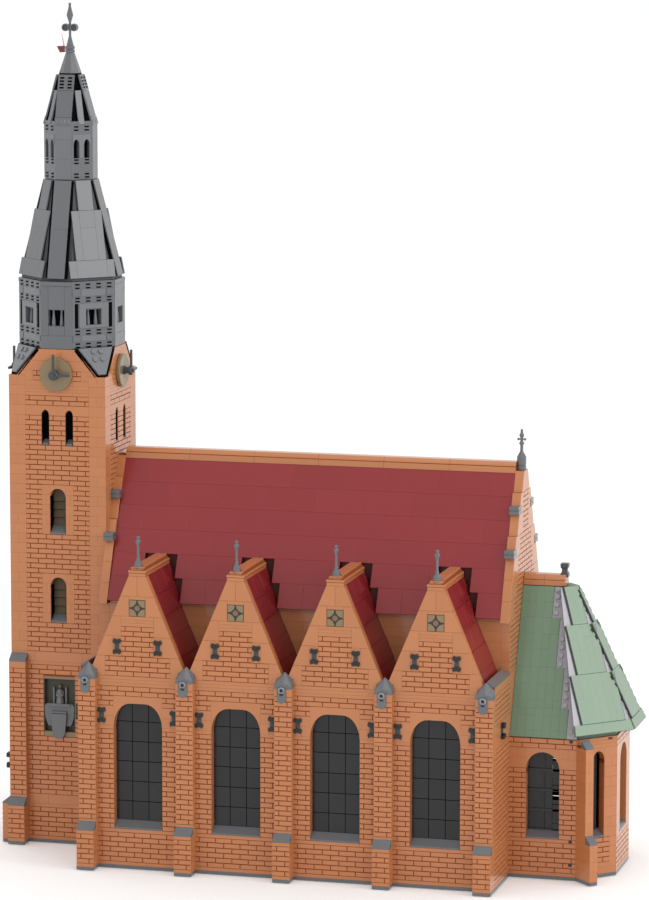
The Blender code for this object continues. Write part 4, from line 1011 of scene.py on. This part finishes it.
# Chancel and apse windows. The chancel's windows have smoked panes, with gaps in their east column, and
# thick dark bars right across. A dark pane and a thin stile fill half of each slanted lancet.
PANE_FRONT = -0.0066
PANE_BACK = -0.0072
panes = new_mesh()
glazing_bars = new_mesh()
sills = new_mesh()
for side, place in chancel_faces:
    for left, right in ((2, 4), (4, 5)):
        window_panes(panes, place, left, right, 1, 14, 38)
    for low, high in ((14, 16.1), (16.3, 21.9), (22.1, 23.3), (26, 27.6), (27.8, 35)):
        box(panes, place, 5.02, 5.97, low, high, PANE_FRONT, PANE_BACK)
    for height in (14, 20, 26, 32):
        box(glazing_bars, place, 2.04, 5.96, height - 0.2, height + 0.55, -0.0066, -0.0079)
    box(glazing_bars, place, 3.93, 4.07, 14, 37.6, -0.0069, -0.0079)
    window_sill(sills, place, 2, 6)
for side, place, length, middle in apse_faces:
    half = 2 if side == "east" else 0.8
    window_sill(sills, place, middle - half, middle + half)
    if side == "east":
        window_panes(panes, place, 2, 6, 2, 14, 38)
    else:
        turn = 1 if side == "southeast" else -1
        left, right = sorted((middle - turn * 0.78, middle + turn * 0.1))
        box(panes, place, left, right, 13, 37.4, PANE_FRONT, PANE_BACK)
        left, right = sorted((middle + turn * 0.1, middle + turn * 0.22))
        box(glazing_bars, place, left, right, 13, 37.6, -0.006, -0.0078)
piece("chancel_panes", panes, smoked_pane, 0.00003)
piece("chancel_glazing_bars", glazing_bars, black)
piece("chancel_sills", sills, slate)

# Small holes and grey caps at the apse. Three sockets show at each corner brick of the chancel, and
# small holes on the thin buttresses; all are black blocks as painted shade in the holes. Grey wedges cap
# the foot and the shaft of both thin buttresses.
low_pairs = ((1.2, 2.6), (SLANT - 1.7, SLANT - 3.1))
sockets = new_mesh()
caps = new_mesh()
for side, place in chancel_faces:
    left = 7.15 if side == "south" else 0.45
    for height in (4.1, 11.1, 41.0):
        box(sockets, place, left, left + 0.42, height, height + 0.85, 0.0006, SUNK)
for (side, place, left), low_holes, high_hole in zip(thin_buttresses, low_pairs, (4.4, 0.6)):
    foot_cap(caps, place, left, 1, 12, 3)
    foot_cap(caps, place, left, 1, 40, 2)
    for near in low_holes:
        box(sockets, place, near, near + 0.5, 1.05, 1.6, 0.0006, SUNK)
    box(sockets, place, high_hole, high_hole + 0.6, 41.1, 41.7, 0.0006, SUNK)
piece("corner_socket_shades", sockets, black, 0.00003)
piece("apse_buttress_caps", caps, slate)

# Chancel roof. Sand-green smooth plates one pitch wide lie up the slope in rows that end in a staircase
# along the hip, where a lower layer of light grey plates shows with its studs.
GREEN = (0.148, 0.232, 0.148)
green = moulded_plastic("sand_green_plastic", GREEN, 0.2, 0.05)
light_grey = moulded_plastic("light_grey_plastic", (0.33, 0.32, 0.35), 0.25)
# The solid behind the green plates is the same sand green painted darker, as the shade in the joints.
green_joint_shade = moulded_plastic("sand_green_painted_shade_in_joints", tinted(GREEN, 0.62)[:3], 0.5)


def chancel_spot(along, out, height):
    """A point from pitches east of the chancel's start and south of the centre line, plates up."""
    return spot(50 + along, CENTRE - out, height) + Vector((CHANCEL_SHIFT, 0, 0))


def columns(bm, face, start, left, right, foot, top, crossings, front):
    """Smooth plates one pitch wide up a slope, some of them jointed half way."""
    first = start
    number = 0
    while first < right - 0.01:
        near, far = max(first, left), min(first + 1, right)
        if far > near + 0.05:
            joints = [z for z in crossings if foot + 0.5 < z < top - 0.5 and (number + int(z)) % 3]
            for low, high in zip([foot] + joints, joints + [top]):
                box(bm, face, near, far, low, high, front, SUNK, 0.00002)
        first += 1
        number += 1


def mirrored_copy(bm):
    """The same pieces again on the other side of the centre line."""
    bmesh.ops.mirror(bm, geom=bm.verts[:] + bm.edges[:] + bm.faces[:], axis="Y", merge_dist=0.0)


foot = chancel_spot(0, 8, 42)
side_slope = slope(foot, (1, 0, 0), chancel_spot(0, 1, 84) - foot)
plates = new_mesh()
under = new_mesh()
steps = ((0.15, 8.9, 6.75), (8.9, 21.1, 5.8), (21.1, 36, 4.8), (36, 45.4, 3.8))
stud = [(0, 0), (0.0024, 0), (0.0024, 0.0016), (0.0022, 0.0018), (0, 0.0018)]
for low, high, end in steps:
    columns(plates, side_slope, -0.2, 0.04, end, low, high, (2.3, 6.6, 11.2, 16.1, 26.4, 31, 40.6), 0.0011)
for low, high, end in steps:
    tile(under, side_slope, end + 0.02, 9, low, high - 0.05, 0.0003, SUNK, (((8.05, 0), (4.6, 45.5)),))
for column, heights in ((4.28, (37.5, 40.0, 42.4, 44.6)), (5.28, (22.3, 24.8, 27.3, 29.8)),
                        (6.28, (10.0, 12.5, 15.0, 17.4)), (7.2, (2.4,))):
    for height in heights:
        turned(under, outward(side_slope, column, height, 0.0003), stud, 12)
mirrored_copy(plates)
mirrored_copy(under)
piece("chancel_roof_plates", plates, green)
piece("chancel_roof_under_plates", under, light_grey, 0)
recoat("chancel_roof", green_joint_shade)

# Apse roof. Its three faces are covered the same way, in steps two, four and six pitches wide over a
# light grey layer, with a level green rim along the foot. Trims of darkened slate along the steps' sides
# are painted shade, and black blocks beside the east face's steps paint the shade in their clip gaps.
foot = chancel_spot(7.975, 9.3, 43.5)
corner_slope = slope(foot, (1, 1, 0), Vector((-5.5 * STUD, 5.5 * STUD, 40.5 * PLATE)))
plates = new_mesh()
under = new_mesh()
trims = new_mesh()
clip_gaps = new_mesh()
left_edge = ((3.0, 44.9), (0.03, 0))
right_edge = ((8.2, 0), (5.23, 44.9))
middle = 4.35
for low, high, half in ((33.2, 44.8, 1), (18.15, 33.1, 2), (3.25, 18.05, 3)):
    left = middle - half
    right = middle + half
    columns(plates, corner_slope, left, left, right, low, high, (10.8, 25.6, 29.4), 0.0026)
    box(trims, corner_slope, left - 0.13, left, low, high, 0.0021, SUNK)
    box(trims, corner_slope, right, right + 0.1, low, high, 0.0021, SUNK)
for left, right in ((0, 4), (4, 8.2)):
    tile(plates, corner_slope, left, right, 0.05, 3.1, 0.0028, SUNK, (left_edge, right_edge), 0.00004)
tile(under, corner_slope, 0, 9, 3.2, 44.85, 0.0006, SUNK, (left_edge, right_edge))
mirrored_copy(plates)
mirrored_copy(under)
mirrored_copy(trims)
foot = chancel_spot(13.8, 3.5, 43.5)
end_slope = slope(foot, (0, 1, 0), Vector((-7.6 * STUD, 0, 40.5 * PLATE)))
left_edge = ((3.4, 44), (0, 0))
right_edge = ((7, 0), (3.6, 44))
middle = 3.5
for low, high, half in ((33.2, 43.6, 0.5), (18.15, 33.1, 1.5), (3.25, 18.05, 2.5)):
    columns(plates, end_slope, middle - half, middle - half, middle + half, low, high, (10.8, 25.6), 0.0026)
    for turn in (-1, 1):
        left, right = sorted((middle + turn * half, middle + turn * (half + 0.12)))
        box(trims, end_slope, left, right, low, high, 0.0021, SUNK)
        left, right = sorted((middle + turn * (half + 0.03), middle + turn * (half + 0.3)))
        height = low + 0.5
        while height < high - 1.5:
            box(clip_gaps, end_slope, left, right, height, height + 1.25, 0.0024, SUNK)
            height += 2.4
tile(plates, end_slope, 0, 7, 0.05, 3.1, 0.0028, SUNK, (left_edge, right_edge), 0.00004)
tile(under, end_slope, 0, 7, 3.2, 43.8, 0.0006, SUNK, (left_edge, right_edge))
piece("apse_roof_plates", plates, green)
piece("apse_roof_under_plates", under, light_grey)
piece("apse_roof_trims", trims, slate_shade)
piece("apse_roof_clip_gap_shades", clip_gaps, black, 0)
recoat("apse_roof", green_joint_shade)

# Chancel ridge: two stacked clay-orange bars like the main ridge, and a grey waisted block at the end.
ridge = new_mesh()
end_on = facing(50, 16, -QUARTER)
for near, far in ((0.1, 2.6), (2.62, 5.1)):
    ridge_bar(ridge, end_on, 0, 1.04, 84.2, 85.75, -near * STUD, -far * STUD, 0.15)
    ridge_cap(ridge, end_on, 85.9, 87.4, -near * STUD, -far * STUD)
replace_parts(piece("chancel_ridge_bars", ridge, clay), "chancel_ridge")
block = new_mesh()
waist = [(0, 86.6), (0.54, 86.6), (0.54, 87.6), (0.45, 87.9), (0.36, 88.5), (0.38, 89.1), (0.52, 89.5),
         (0.54, 90.55), (0.48, 90.75), (0, 90.75)]
turned(block, facing(54.8, 16, QUARTER / 2, CHANCEL_SHIFT), in_metres([(1.25 * r, z) for r, z in waist]), 4)
piece("chancel_ridge_finial", block, dark_bar, 0.0003)

# Tower windows. Each bell window has a sloping grey sill and four olive-tan slats, one above the other,
# set deep in a black frame; the frame is black as painted shade in the reveals, and the slats are a
# darker olive as painted shade. The lancets are black inside, as painted shade, over a small grey sill.
slats = new_mesh()
reveal_shades = new_mesh()
sills = new_mesh()
for side, place, bells, *_ in tower_faces:
    if bells:
        for sill in (68, 95):
            prism(sills, place, [(0.06, sill + 0.05), (0.06, sill + 0.5), (-0.9, sill + 2.4),
                                 (-0.95, sill + 0.05)], 5.05, 6.95)
            for left in (5.03, 6.9):
                box(reveal_shades, place, left, left + 0.07, sill, sill + 11.6, -0.0004, -0.0118)
            box(reveal_shades, place, 5.03, 6.97, sill + 1, sill + 13.6, -0.0102, -0.0108)
            for low, high in ((1.9, 4.6), (4.75, 7.15), (7.3, 9.6), (9.75, 13.3)):
                prism(slats, place, [(-1.02, sill + low), (-0.98, sill + low + 0.1), (-1.2, sill + high),
                                     (-1.26, sill + high)], 5.1, 6.9)
    for left in (4, 7):
        box(reveal_shades, place, left + 0.03, left + 0.97, 122.2, 132.4, PANE_FRONT, PANE_BACK)
        for near in (left + 0.03, left + 0.9):
            box(reveal_shades, place, near, near + 0.07, 122, 131.6, -0.0004, -0.0066)
        prism(sills, place, [(0.03, 122.1), (0.03, 122.5), (-0.75, 123.7), (-0.75, 122.1)],
              left + 0.12, left + 0.88)
# A darker copy of the olive-tan, as painted shade on slats deep in the window.
olive_shade = moulded_plastic("olive_tan_slats_painted_shade", (0.1, 0.072, 0.038), 0.4, gloss=0.2)
piece("bell_window_slats", slats, olive_shade, 0.0001)
piece("tower_window_painted_shade", reveal_shades, shade_black, 0.00003)
piece("tower_window_sills", sills, slate)

# The niche. A recess framed by olive-tan plates holds a small grey standing figure in a long robe,
# between two posts, on a broad curved grey bracket with a rounded tongue in front. The recess's sides
# and back, and a strip beside it, are dark olive as painted shade.
RECESS = -0.0046
south = tower_faces[0][1]
frame_plates = new_mesh()
shadow = new_mesh()
box(frame_plates, south, 4.0, 8.0, 50.7, 51.5, 0.0001, RECESS)
box(frame_plates, south, 4.0, 8.0, 33.0, 34.5, SUNK, RECESS)
# The recess's sides and back, and a strip beside it, are dark olive as painted shade.
for left in (4.0, 7.84):
    box(shadow, south, left, left + 0.16, 34.5, 50.7, SUNK, RECESS)
box(shadow, south, 4.0, 8.0, 33.2, 51.2, -0.0044, -0.0047)
box(shadow, south, 8.06, 8.3, 38.6, 43.6, PROUD + 0.0002, SUNK)
piece("niche_frame_plates", frame_plates, olive)
piece("niche_painted_shade", shadow, dark_olive_and_niche_shade)
post = [(0, 43.2), (0.001, 43.2), (0.001, 47.9), (0.0006, 48.2), (0, 48.2)]
posts = new_mesh()
for middle in (5.22, 6.78):
    turned(posts, standing(south, middle, -0.25), [(r, z * PLATE) for r, z in post], 12)
# A copy of the slate grey made 1.2 times as light, as painted light; it serves the slanted sides, the grille
# lips, the posts and the figure.
lit_slate = moulded_plastic("slate_grey_painted_lighter", tinted(GREY, 1.2)[:3], 0.3, 0.08)
piece("niche_posts", posts, lit_slate, 0)
bracket = new_mesh()
bend = [QUARTER * i / 5 for i in range(6)]
half = [(1.4, 36.3), (1.6, 37.2), (1.8, 38.8)]
half += [(1.5 + 0.4 * math.cos(a), 41.6 + 1.6 * math.sin(a)) for a in bend]
outline = [(6 + u, z) for u, z in half] + [(6 - u, z) for u, z in reversed(half)]
slab(bracket, south, outline, 0.0004, -0.0044)
box(bracket, south, 4.6, 7.4, 42.3, 43.2, 0.0016, -0.004)
tongue = [(6.25, 32.6), (6.6, 33.1), (6.8, 34.2), (6.95, 38), (7.0, 40.2)]
outline = tongue + [(12 - u, z) for u, z in reversed(tongue)]
slab(bracket, south, outline, 0.0034, 0.0003)
box(bracket, south, 5.05, 6.95, 40.3, 40.9, 0.0028, 0.0003)
bracket_piece = piece("niche_bracket_stone", bracket, slate, 0.0004, 3)
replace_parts(bracket_piece, "niche_bracket")
figure = new_mesh()
stand = standing(south, 6, -0.26) @ Matrix.Diagonal((1.4, 1.25, 1, 1))
robe = [(0, 43.25), (0.0027, 43.25), (0.0029, 43.7), (0.0023, 45.0), (0.0019, 46.0), (0.0021, 46.9),
        (0.0019, 47.4), (0.0009, 47.65), (0, 47.7)]
turned(figure, stand, [(r, z * PLATE) for r, z in robe], 16)
rise = [QUARTER * (i / 4 - 1) for i in range(9)]
head = [(0.0012 * math.cos(a), 48.35 * PLATE + 0.0016 * math.sin(a)) for a in rise]
turned(figure, stand, [(0 if abs(r) < 0.00001 else r, z) for r, z in head], 14)
upper_arm = ((0.2, -0.05, 47.3), (0.33, 0.0, 46.9), (0.34, 0.1, 45.6), (0.26, 0.22, 45.3),
             (0.18, 0.12, 45.7), (0.2, 0.15, 47))
fore_arm = ((0.34, 0.08, 45.6), (0.3, 0.26, 45.3), (0.02, 0.36, 45.9), (0.02, 0.3, 46.3), (0.3, 0.2, 46.1))
for turn in (-1, 1):
    for arm in (upper_arm, fore_arm):
        hull(figure, stand, [(turn * u, out, z) for u, out, z in arm])
for fold in (-0.26, -0.13, 0.0, 0.13, 0.26):
    out = 0.3 - abs(fold) * 0.35
    hull(figure, stand, [(fold - 0.03, out, 43.3), (fold + 0.03, out, 43.3),
                         (fold * 0.5, 0.24 - abs(fold) * 0.3, 45.2), (fold, 0.36 - abs(fold) * 0.45, 43.35)])
hull(figure, stand, [(-0.03, 0.15, 48.1), (0.03, 0.15, 48.1), (0, 0.21, 48.15), (0, 0.15, 48.5)])
figure_piece = piece("niche_figure", figure, lit_slate, 0)
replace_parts(figure_piece, "niche_statue")
face = new_mesh()
for turn in (-1, 1):
    box(face, stand, turn * 0.065 - 0.022, turn * 0.065 + 0.022, 48.42, 48.5, 0.00132, 0.0009)
box(face, stand, -0.045, 0.045, 47.97, 48.02, 0.00131, 0.0009)
piece("niche_figure_face", face, dark_bar, 0)

# Caps of the tower's corner buttresses, of sloping grey bricks, and a black clasp on
# each one's west face.
caps = new_mesh()
clasps = new_mesh()
for side, place, west, left, start in corner_shafts:
    foot_cap(caps, place, left, 2, 12, 2)
    foot_cap(caps, place, left, 2, 56, 1)
    foot_cap(caps, west, start, 3, 12, 1)
    wall_clasp(clasps, clasps, west, 2.5 - start, 22.8, False, 0.0042)
piece("corner_buttress_caps", caps, slate)
piece("corner_buttress_clasps", clasps, black)

# The crown. Between two gables a three-cornered blue-grey plate with four studs leans against the
# drum. It is clipped on, and a black sheet behind it paints the shade in the gap along the gables' edges;
# the crown's solid under it is darkened slate, as painted shade.
crown_plates = new_mesh()
crown_gap_shades = new_mesh()
middle = spot(-6, 16, 143) + Vector((TOWER_SHIFT, 0, 0))
for quarter in range(4):
    turn = Matrix.Rotation(quarter * QUARTER, 3, "Z")
    foot = middle + turn @ Vector((5.5 * STUD, -5.5 * STUD, 0))
    top = middle + turn @ Vector((4.165 * STUD, -4.165 * STUD, 8 * PLATE))
    wing = slope(foot, turn @ Vector((1, 1, 0)), top - foot)
    slab(crown_gap_shades, wing, [(-0.72, 0.0), (0.72, 0.0), (2.72, 9.6), (-2.72, 9.6)], 0.0007, -0.0011)
    slab(crown_plates, wing, [(-0.46, 0.45), (0.46, 0.45), (2.26, 9.25), (-2.26, 9.25)], 0.0026, 0.0006)
    for across_sign in (-0.5, 0.5):
        for height in (5.4, 7.9):
            turned(crown_plates, outward(wing, across_sign, height, 0.0024),
                   [(0, 0), (0.0024, 0), (0.0024, 0.0017), (0.0022, 0.0019), (0, 0.0019)], 14)
blue_grey = moulded_plastic("blue_grey_plates", (0.165, 0.172, 0.182), 0.22)
piece("crown_plates", crown_plates, blue_grey, 0.0001)
piece("crown_gap_shades", crown_gap_shades, shade_black, 0)
recoat("tower_crown", slate_shade)

# Clocks. A smooth olive-tan dish hangs on each gable, and a thick black hub in its middle carries two
# dark grey hands a pitch in front of it, the hour hand tapered. A grey stud closes the hub.
dish = [(0, 0), (0.0148, 0), (0.0159, 0.0008), (0.0161, 0.0018), (0.0161, 0.0034), (0.0157, 0.0041),
        (0.0149, 0.0043), (0.0141, 0.0041), (0.006, 0.0037), (0, 0.0037)]
hubs = new_mesh()
hands = new_mesh()
for side, place, *_ in tower_faces:
    dials = new_mesh()
    axis = outward(place, 6, 143.5, 0.0004)
    turned(dials, axis, dish, 40)
    dial = piece("clock_dial_" + side, dials, olive, 0)
    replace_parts(dial, "clock_" + side)
    turned(hubs, axis, [(0, 0.003), (0.0042, 0.003), (0.0042, 0.0058), (0.0032, 0.0062), (0.0032, 0.009),
                        (0.0047, 0.0094), (0.0047, 0.0118), (0.0041, 0.0126), (0, 0.0126)], 20)
    turned(hands, axis, [(0, 0.0122), (0.0019, 0.0122), (0.0019, 0.0141), (0, 0.0141)], 14)
    slab(hands, place, [(6.3, 143.1), (8.0, 143.25), (8.0, 144.0), (6.3, 144.15)], 0.0125, 0.0104)
    slab(hands, place, [(5.84, 144.5), (6.16, 144.5), (6.12, 149.8), (5.88, 149.8)], 0.0125, 0.0104)
piece("clock_hubs", hubs, dark_bar, 0)
piece("clock_hands", hands, dark_bar, 0.0002)

# The lantern drum: eight sides of slate-grey bricks. The slanted sides are covered with small grille
# tiles in pairs of slotted rows, and each side has an opening with two turned posts in it. The slanted
# sides' panels, the posts and the lips are in the slate painted lighter as lit; the slots and a box
# behind each opening are black as painted shade.
posts = new_mesh()
slots = new_mesh()
lips = new_mesh()
panels = new_mesh()
plain_panels = new_mesh()
core = new_mesh()
tower_axis = Matrix.Translation(spot(-6, 16, 0) + Vector((TOWER_SHIFT, 0, 0)))


def ring_side(number, distance):
    """The frame of side 0 to 7 of an eight-sided ring, its middle at pitch 0."""
    turn = Matrix.Rotation(number * QUARTER / 2, 4, "Z")
    return tower_axis @ turn @ Matrix.Translation((0, -distance * STUD, 0))


def dashes(place, heights, middles, half, tall=0.24, proud=0.0003):
    """Slots of grille tiles, black as painted shade, each between two lips in the lighter painted slate."""
    for height in heights:
        for middle in middles:
            box(slots, place, middle - half, middle + half, height - tall, height + tall, proud, SUNK)
            box(lips, place, middle - half - 0.03, middle + half + 0.03, height + tall, height + tall + 0.16,
                proud + 0.0002, SUNK)


def post_pair(place, foot, top):
    """Two tapered posts, wide at the foot."""
    for side in (-0.5, 0.5):
        profile = [(0, foot), (0.0021, foot), (0.0019, foot + 1), (0.001, top - 1), (0.0012, top), (0, top)]
        turned(posts, standing(place, side, -0.5), [(r, z * PLATE) for r, z in profile], 12)


for number in range(8):
    slanted = number % 2 == 1
    place = ring_side(number, 5.657 if slanted else 6)
    if slanted:
        dashes(place, (170.45, 169.4, 166.35, 165.4, 156.55, 155.55, 152.65, 151.65),
               (-2.12, -0.707, 0.707, 2.12), 0.29)
        for near, far in ((-1.95, -1.02), (1.02, 1.95)):
            box(panels, place, near, far, 157.3, 164.7, 0.0007, SUNK, SEAM)
        box(panels, place, -1.95, 1.95, 157.3, 158.2, 0.0008, SUNK, SEAM)
        box(panels, place, -1.95, 1.95, 163.1, 164.7, 0.0008, SUNK, SEAM)
        for turn in (-1, 1):
            near, far = sorted((turn * 2.05, turn * 2.5))
            box(slots, place, near, far, 157.3, 164.7, 0.0001, SUNK)
            near, far = sorted((turn * 1.72, turn * 2.8))
            box(plain_panels, place, near, far, 166.9, 168.9, 0.0006, SUNK, SEAM)
            box(plain_panels, place, near, far, 153.3, 155.0, 0.0006, SUNK, SEAM)
        box(panels, place, -1.65, 1.65, 166.9, 168.9, 0.0003, SUNK, SEAM)
        box(panels, place, -1.65, 1.65, 153.3, 155.0, 0.0003, SUNK, SEAM)
    else:
        for near, far in ((-1.98, -1.02), (1.02, 1.98)):
            box(plain_panels, place, near, far, 155.1, 169.9, 0.0004, SUNK, SEAM)
        box(plain_panels, place, -1.0, 1.0, 162.9, 169.9, 0.0004, SUNK, SEAM)
        box(plain_panels, place, -1.0, 1.0, 155.1, 157.9, 0.0004, SUNK, SEAM)
        box(plain_panels, place, -1.98, 1.98, 151.15, 155.05, 0.0004, SUNK, SEAM)
        box(plain_panels, place, -2.0, 2.0, 170.0, 171.2, 0.0008, SUNK, SEAM)
    post_pair(place, 158, 162.9)
    box(core, place, -1.9, 1.9, 156, 165, -0.0065, -0.0087)
piece("drum_posts", posts, lit_slate, 0)
piece("drum_slanted_panels", panels, lit_slate)
piece("drum_panels", plain_panels, slate)
piece("drum_inside_shade", core, shade_black, 0)
recoat("lantern_drum", slate)

# The spire's skirt. Smooth slate-grey panels hang in eight leaves from the upper lantern. The slanted
# leaves grow wider downwards in three tiers, and the gaps between the leaves are dark: a darkened slate
# core and black strips behind the main leaves are painted shade.
PANEL_BACK = -0.0014


def eight_sided(bm, low_main, low_slant, foot, high_main, high_slant, top):
    """A closed eight-sided core, from the distances of its main and slanted sides at foot and top."""
    points = []
    for main, slant, height in ((low_main, low_slant, foot), (high_main, high_slant, top)):
        half = slant * math.sqrt(2) - main
        for u, out in ((-half, main), (half, main)):
            for number in range(4):
                turn = Matrix.Rotation(number * QUARTER, 3, "Z")
                x, y, z = turn @ Vector((u, -out, height))
                points.append((x, -y, z))
    hull(bm, tower_axis, points)


def leaning_face(number, low_out, foot, high_out, top):
    """The frame of a panel on side 0 to 7 that leans in from foot to top, and its length in plates."""
    turn = tower_axis @ Matrix.Rotation(number * QUARTER / 2, 4, "Z")
    start = turn @ Vector((0, -low_out * STUD, foot * PLATE))
    end = turn @ Vector((0, -high_out * STUD, top * PLATE))
    return slope(start, turn.to_3x3() @ Vector((1, 0, 0)), end - start), (end - start).length / PLATE


leaves = new_mesh()
shadow_strips = new_mesh()
under = new_mesh()
eight_sided(under, 5.75, 5.4, 171.4, 2.85, 2.9, 201)
for number in range(8):
    slanted = number % 2 == 1
    leaf, length = leaning_face(number, 5.66 if slanted else 6.2, 172.2, 3.15, 201)
    if slanted:
        for half, low, high in ((3, 0.1, 5.3), (2, 5.33, 20.3), (1, 20.33, length - 0.1)):
            step = 1 if half == 1 else 0.99
            edges = [-half, -half + step, half - step, half] if half > 1 else [-1, 1]
            for near, far in zip(edges, edges[1:]):
                marks = [low, 15.1, high] if half == 2 and near < 0 < far else [low, high]
                for below, above in zip(marks, marks[1:]):
                    box(leaves, leaf, near, far, below, above, 0.0, PANEL_BACK, SEAM)
    else:
        for low, high in ((0.05, 15), (15, length - 0.1)):
            box(leaves, leaf, -1.05, 1.05, low, high, 0.0, PANEL_BACK, SEAM)
        box(shadow_strips, leaf, -1.3, 1.3, 0.3, length - 0.2, -0.0012, -0.0044)
leaf_piece = piece("skirt_leaves", leaves, slate)
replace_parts(leaf_piece, "spire_skirt")
piece("skirt_core_shade", under, slate_shade, 0)
piece("skirt_shadow_strips", shadow_strips, shade_black, 0)

# The upper lantern. Its slanted sides have pairs of arched openings between rows of grille tiles, and
# the four others are plain bricks. Its panels are in the slate painted lighter as lit, and a black box
# behind the openings is painted shade.
core = new_mesh()
panels = new_mesh()
for number in range(8):
    slanted = number % 2 == 1
    place = ring_side(number, 2.828 if slanted else 3)
    if slanted:
        dashes(place, (216.9, 215.9, 207.0, 206.0, 202.8, 201.85), (-0.707, 0.707), 0.28)
        for middle in (-0.7, 0.7):
            outline = [(middle - 0.5, 211.4)] + arch_curve(middle, 0.74, 213.1, 0.37, 1.6, 5)
            outline += [(middle + 0.5, 211.4), (middle + 0.5, 214.6), (middle - 0.5, 214.6)]
            slab(panels, place, outline, 0.0004, -0.002)
        box(panels, place, -0.22, 0.22, 207.5, 214.6, 0.0003, SUNK)
    else:
        for low, high in ((201.2, 207.2), (207.2, 213.2), (213.2, 218.3)):
            box(panels, place, -0.98, 0.98, low, high, 0.0004, SUNK, SEAM)
    box(core, place, -0.95, 0.95, 205, 216, -0.0057, -0.0062)
piece("upper_lantern_panels", panels, lit_slate)
piece("upper_lantern_inside_shade", core, shade_black, 0)
recoat("upper_lantern", slate)

# The upper spire: four broad panels with a slotted box at the top of each, and a narrow panel between
# every two, all leaning in to the cone. The gaps between them are dark: the cone inside is black as
# painted shade, and the narrow panels are in the slate painted lighter as lit.
broad = new_mesh()
narrow = new_mesh()
core = new_mesh()
eight_sided(core, 2.75, 2.6, 218.4, 1.2, 1.25, 232.6)
for number in range(8):
    slanted = number % 2 == 1
    low_out, high_out = (2.78, 1.5) if slanted else (2.93, 1.38)
    leaf, length = leaning_face(number, low_out, 218.8, high_out, 232.5)
    if slanted:
        box(narrow, leaf, -0.4, 0.4, -0.8, 9.0, 0.0, PANEL_BACK, SEAM)
        box(narrow, leaf, -0.36, 0.36, -1.2, 0.6, 0.0005, PANEL_BACK, SEAM)
    else:
        box(broad, leaf, -1.0, 1.0, 0.9, 9.0, 0.0002, PANEL_BACK, SEAM)
        box(broad, leaf, -1.03, 1.03, -1.5, 0.85, 0.0006, PANEL_BACK, SEAM)
        for near in (-0.75, -0.25, 0.25, 0.75):
            box(narrow, leaf, near - 0.14, near + 0.14, -0.9, 0.1, 0.0008, 0.0004)
        box(broad, leaf, -1.0, 1.0, 9.05, 13.9, 0.0004, PANEL_BACK, SEAM)
        dashes(leaf, (12.9, 11.9, 10.9, 9.9), (-0.5, 0.5), 0.26, 0.26, 0.0006)
broad_piece = piece("spire_broad_panels", broad, slate)
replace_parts(broad_piece, "upper_spire")
piece("spire_narrow_panels", narrow, lit_slate)
piece("spire_inside_shade", core, shade_black, 0)
piece("grille_slot_shades", slots, shade_black, 0)
piece("grille_lips", lips, lit_slate, 0)

# The tip: a round collar over the cone, two round leaves with a dark ring and eye, and a spearhead. A
# dark red flag on a short arm and a thin pale mast stand out on its west side.
rings = new_mesh()
eyes = new_mesh()
collar = [(0.0043, -0.4), (0.0046, -0.3), (0.0046, 0.3), (0.0043, 0.4), (0.0036, 0), (0.0043, -0.4)]
for height in (239.0, 240.1):
    turned(rings, tower_axis, [(r, (height + z) * PLATE) for r, z in collar], 16)
for turn in (-1, 1):
    for facing_side in (0, 1):
        face = tower_axis @ Matrix.Rotation(2 * QUARTER * facing_side, 4, "Z")
        at = outward(face, turn * 0.53, 246.1, 0.0016)
        turned(rings, at, [(0.0026, 0), (0.0037, 0), (0.0037, 0.0005), (0.0031, 0.0008), (0.0026, 0.0005),
                           (0.0026, 0)], 16)
        turned(eyes, at, [(0.0016, 0), (0.0025, 0), (0.0025, 0.0003), (0.0016, 0.0003), (0.0016, 0)], 16)
        turned(eyes, at, [(0, 0), (0.0008, 0), (0.0008, 0.0004), (0, 0.0004)], 10)
piece("tip_rings", rings, slate, 0)
piece("tip_eyes", eyes, black, 0)
recoat("spire_finial", slate)
flag = new_mesh()
mast = new_mesh()
slab(flag, tower_axis, [(-1.62, 240.5), (-1.45, 239.4), (-1.35, 239.3), (-1.3, 238.6), (-0.68, 238.7),
                        (-0.66, 240.6)], 0.0012, -0.0012)
banner_red = moulded_plastic("dark_red_banner", (0.15, 0.03, 0.04), 0.3)
flag_piece = piece("vane_banner", flag, banner_red, 0.0002)
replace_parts(flag_piece, "vane_flag")
turned(mast, standing(tower_axis, -0.78, 0, 240.4) @ Matrix.Rotation(-0.16, 4, "Y"),
       [(0, 0), (0.0007, 0), (0.0003, 0.0125), (0, 0.0125)], 8)
turned(mast, standing(tower_axis, 0, 0, 239.8) @ Matrix.Rotation(-QUARTER, 4, "Y"),
       [(0.003, 0), (0.001, 0.0032), (0.001, 0.006), (0, 0.006)], 8)
pale_pink = moulded_plastic("pale_pink_plastic", (0.62, 0.42, 0.42), 0.3)
piece("vane_mast", mast, pale_pink, 0)
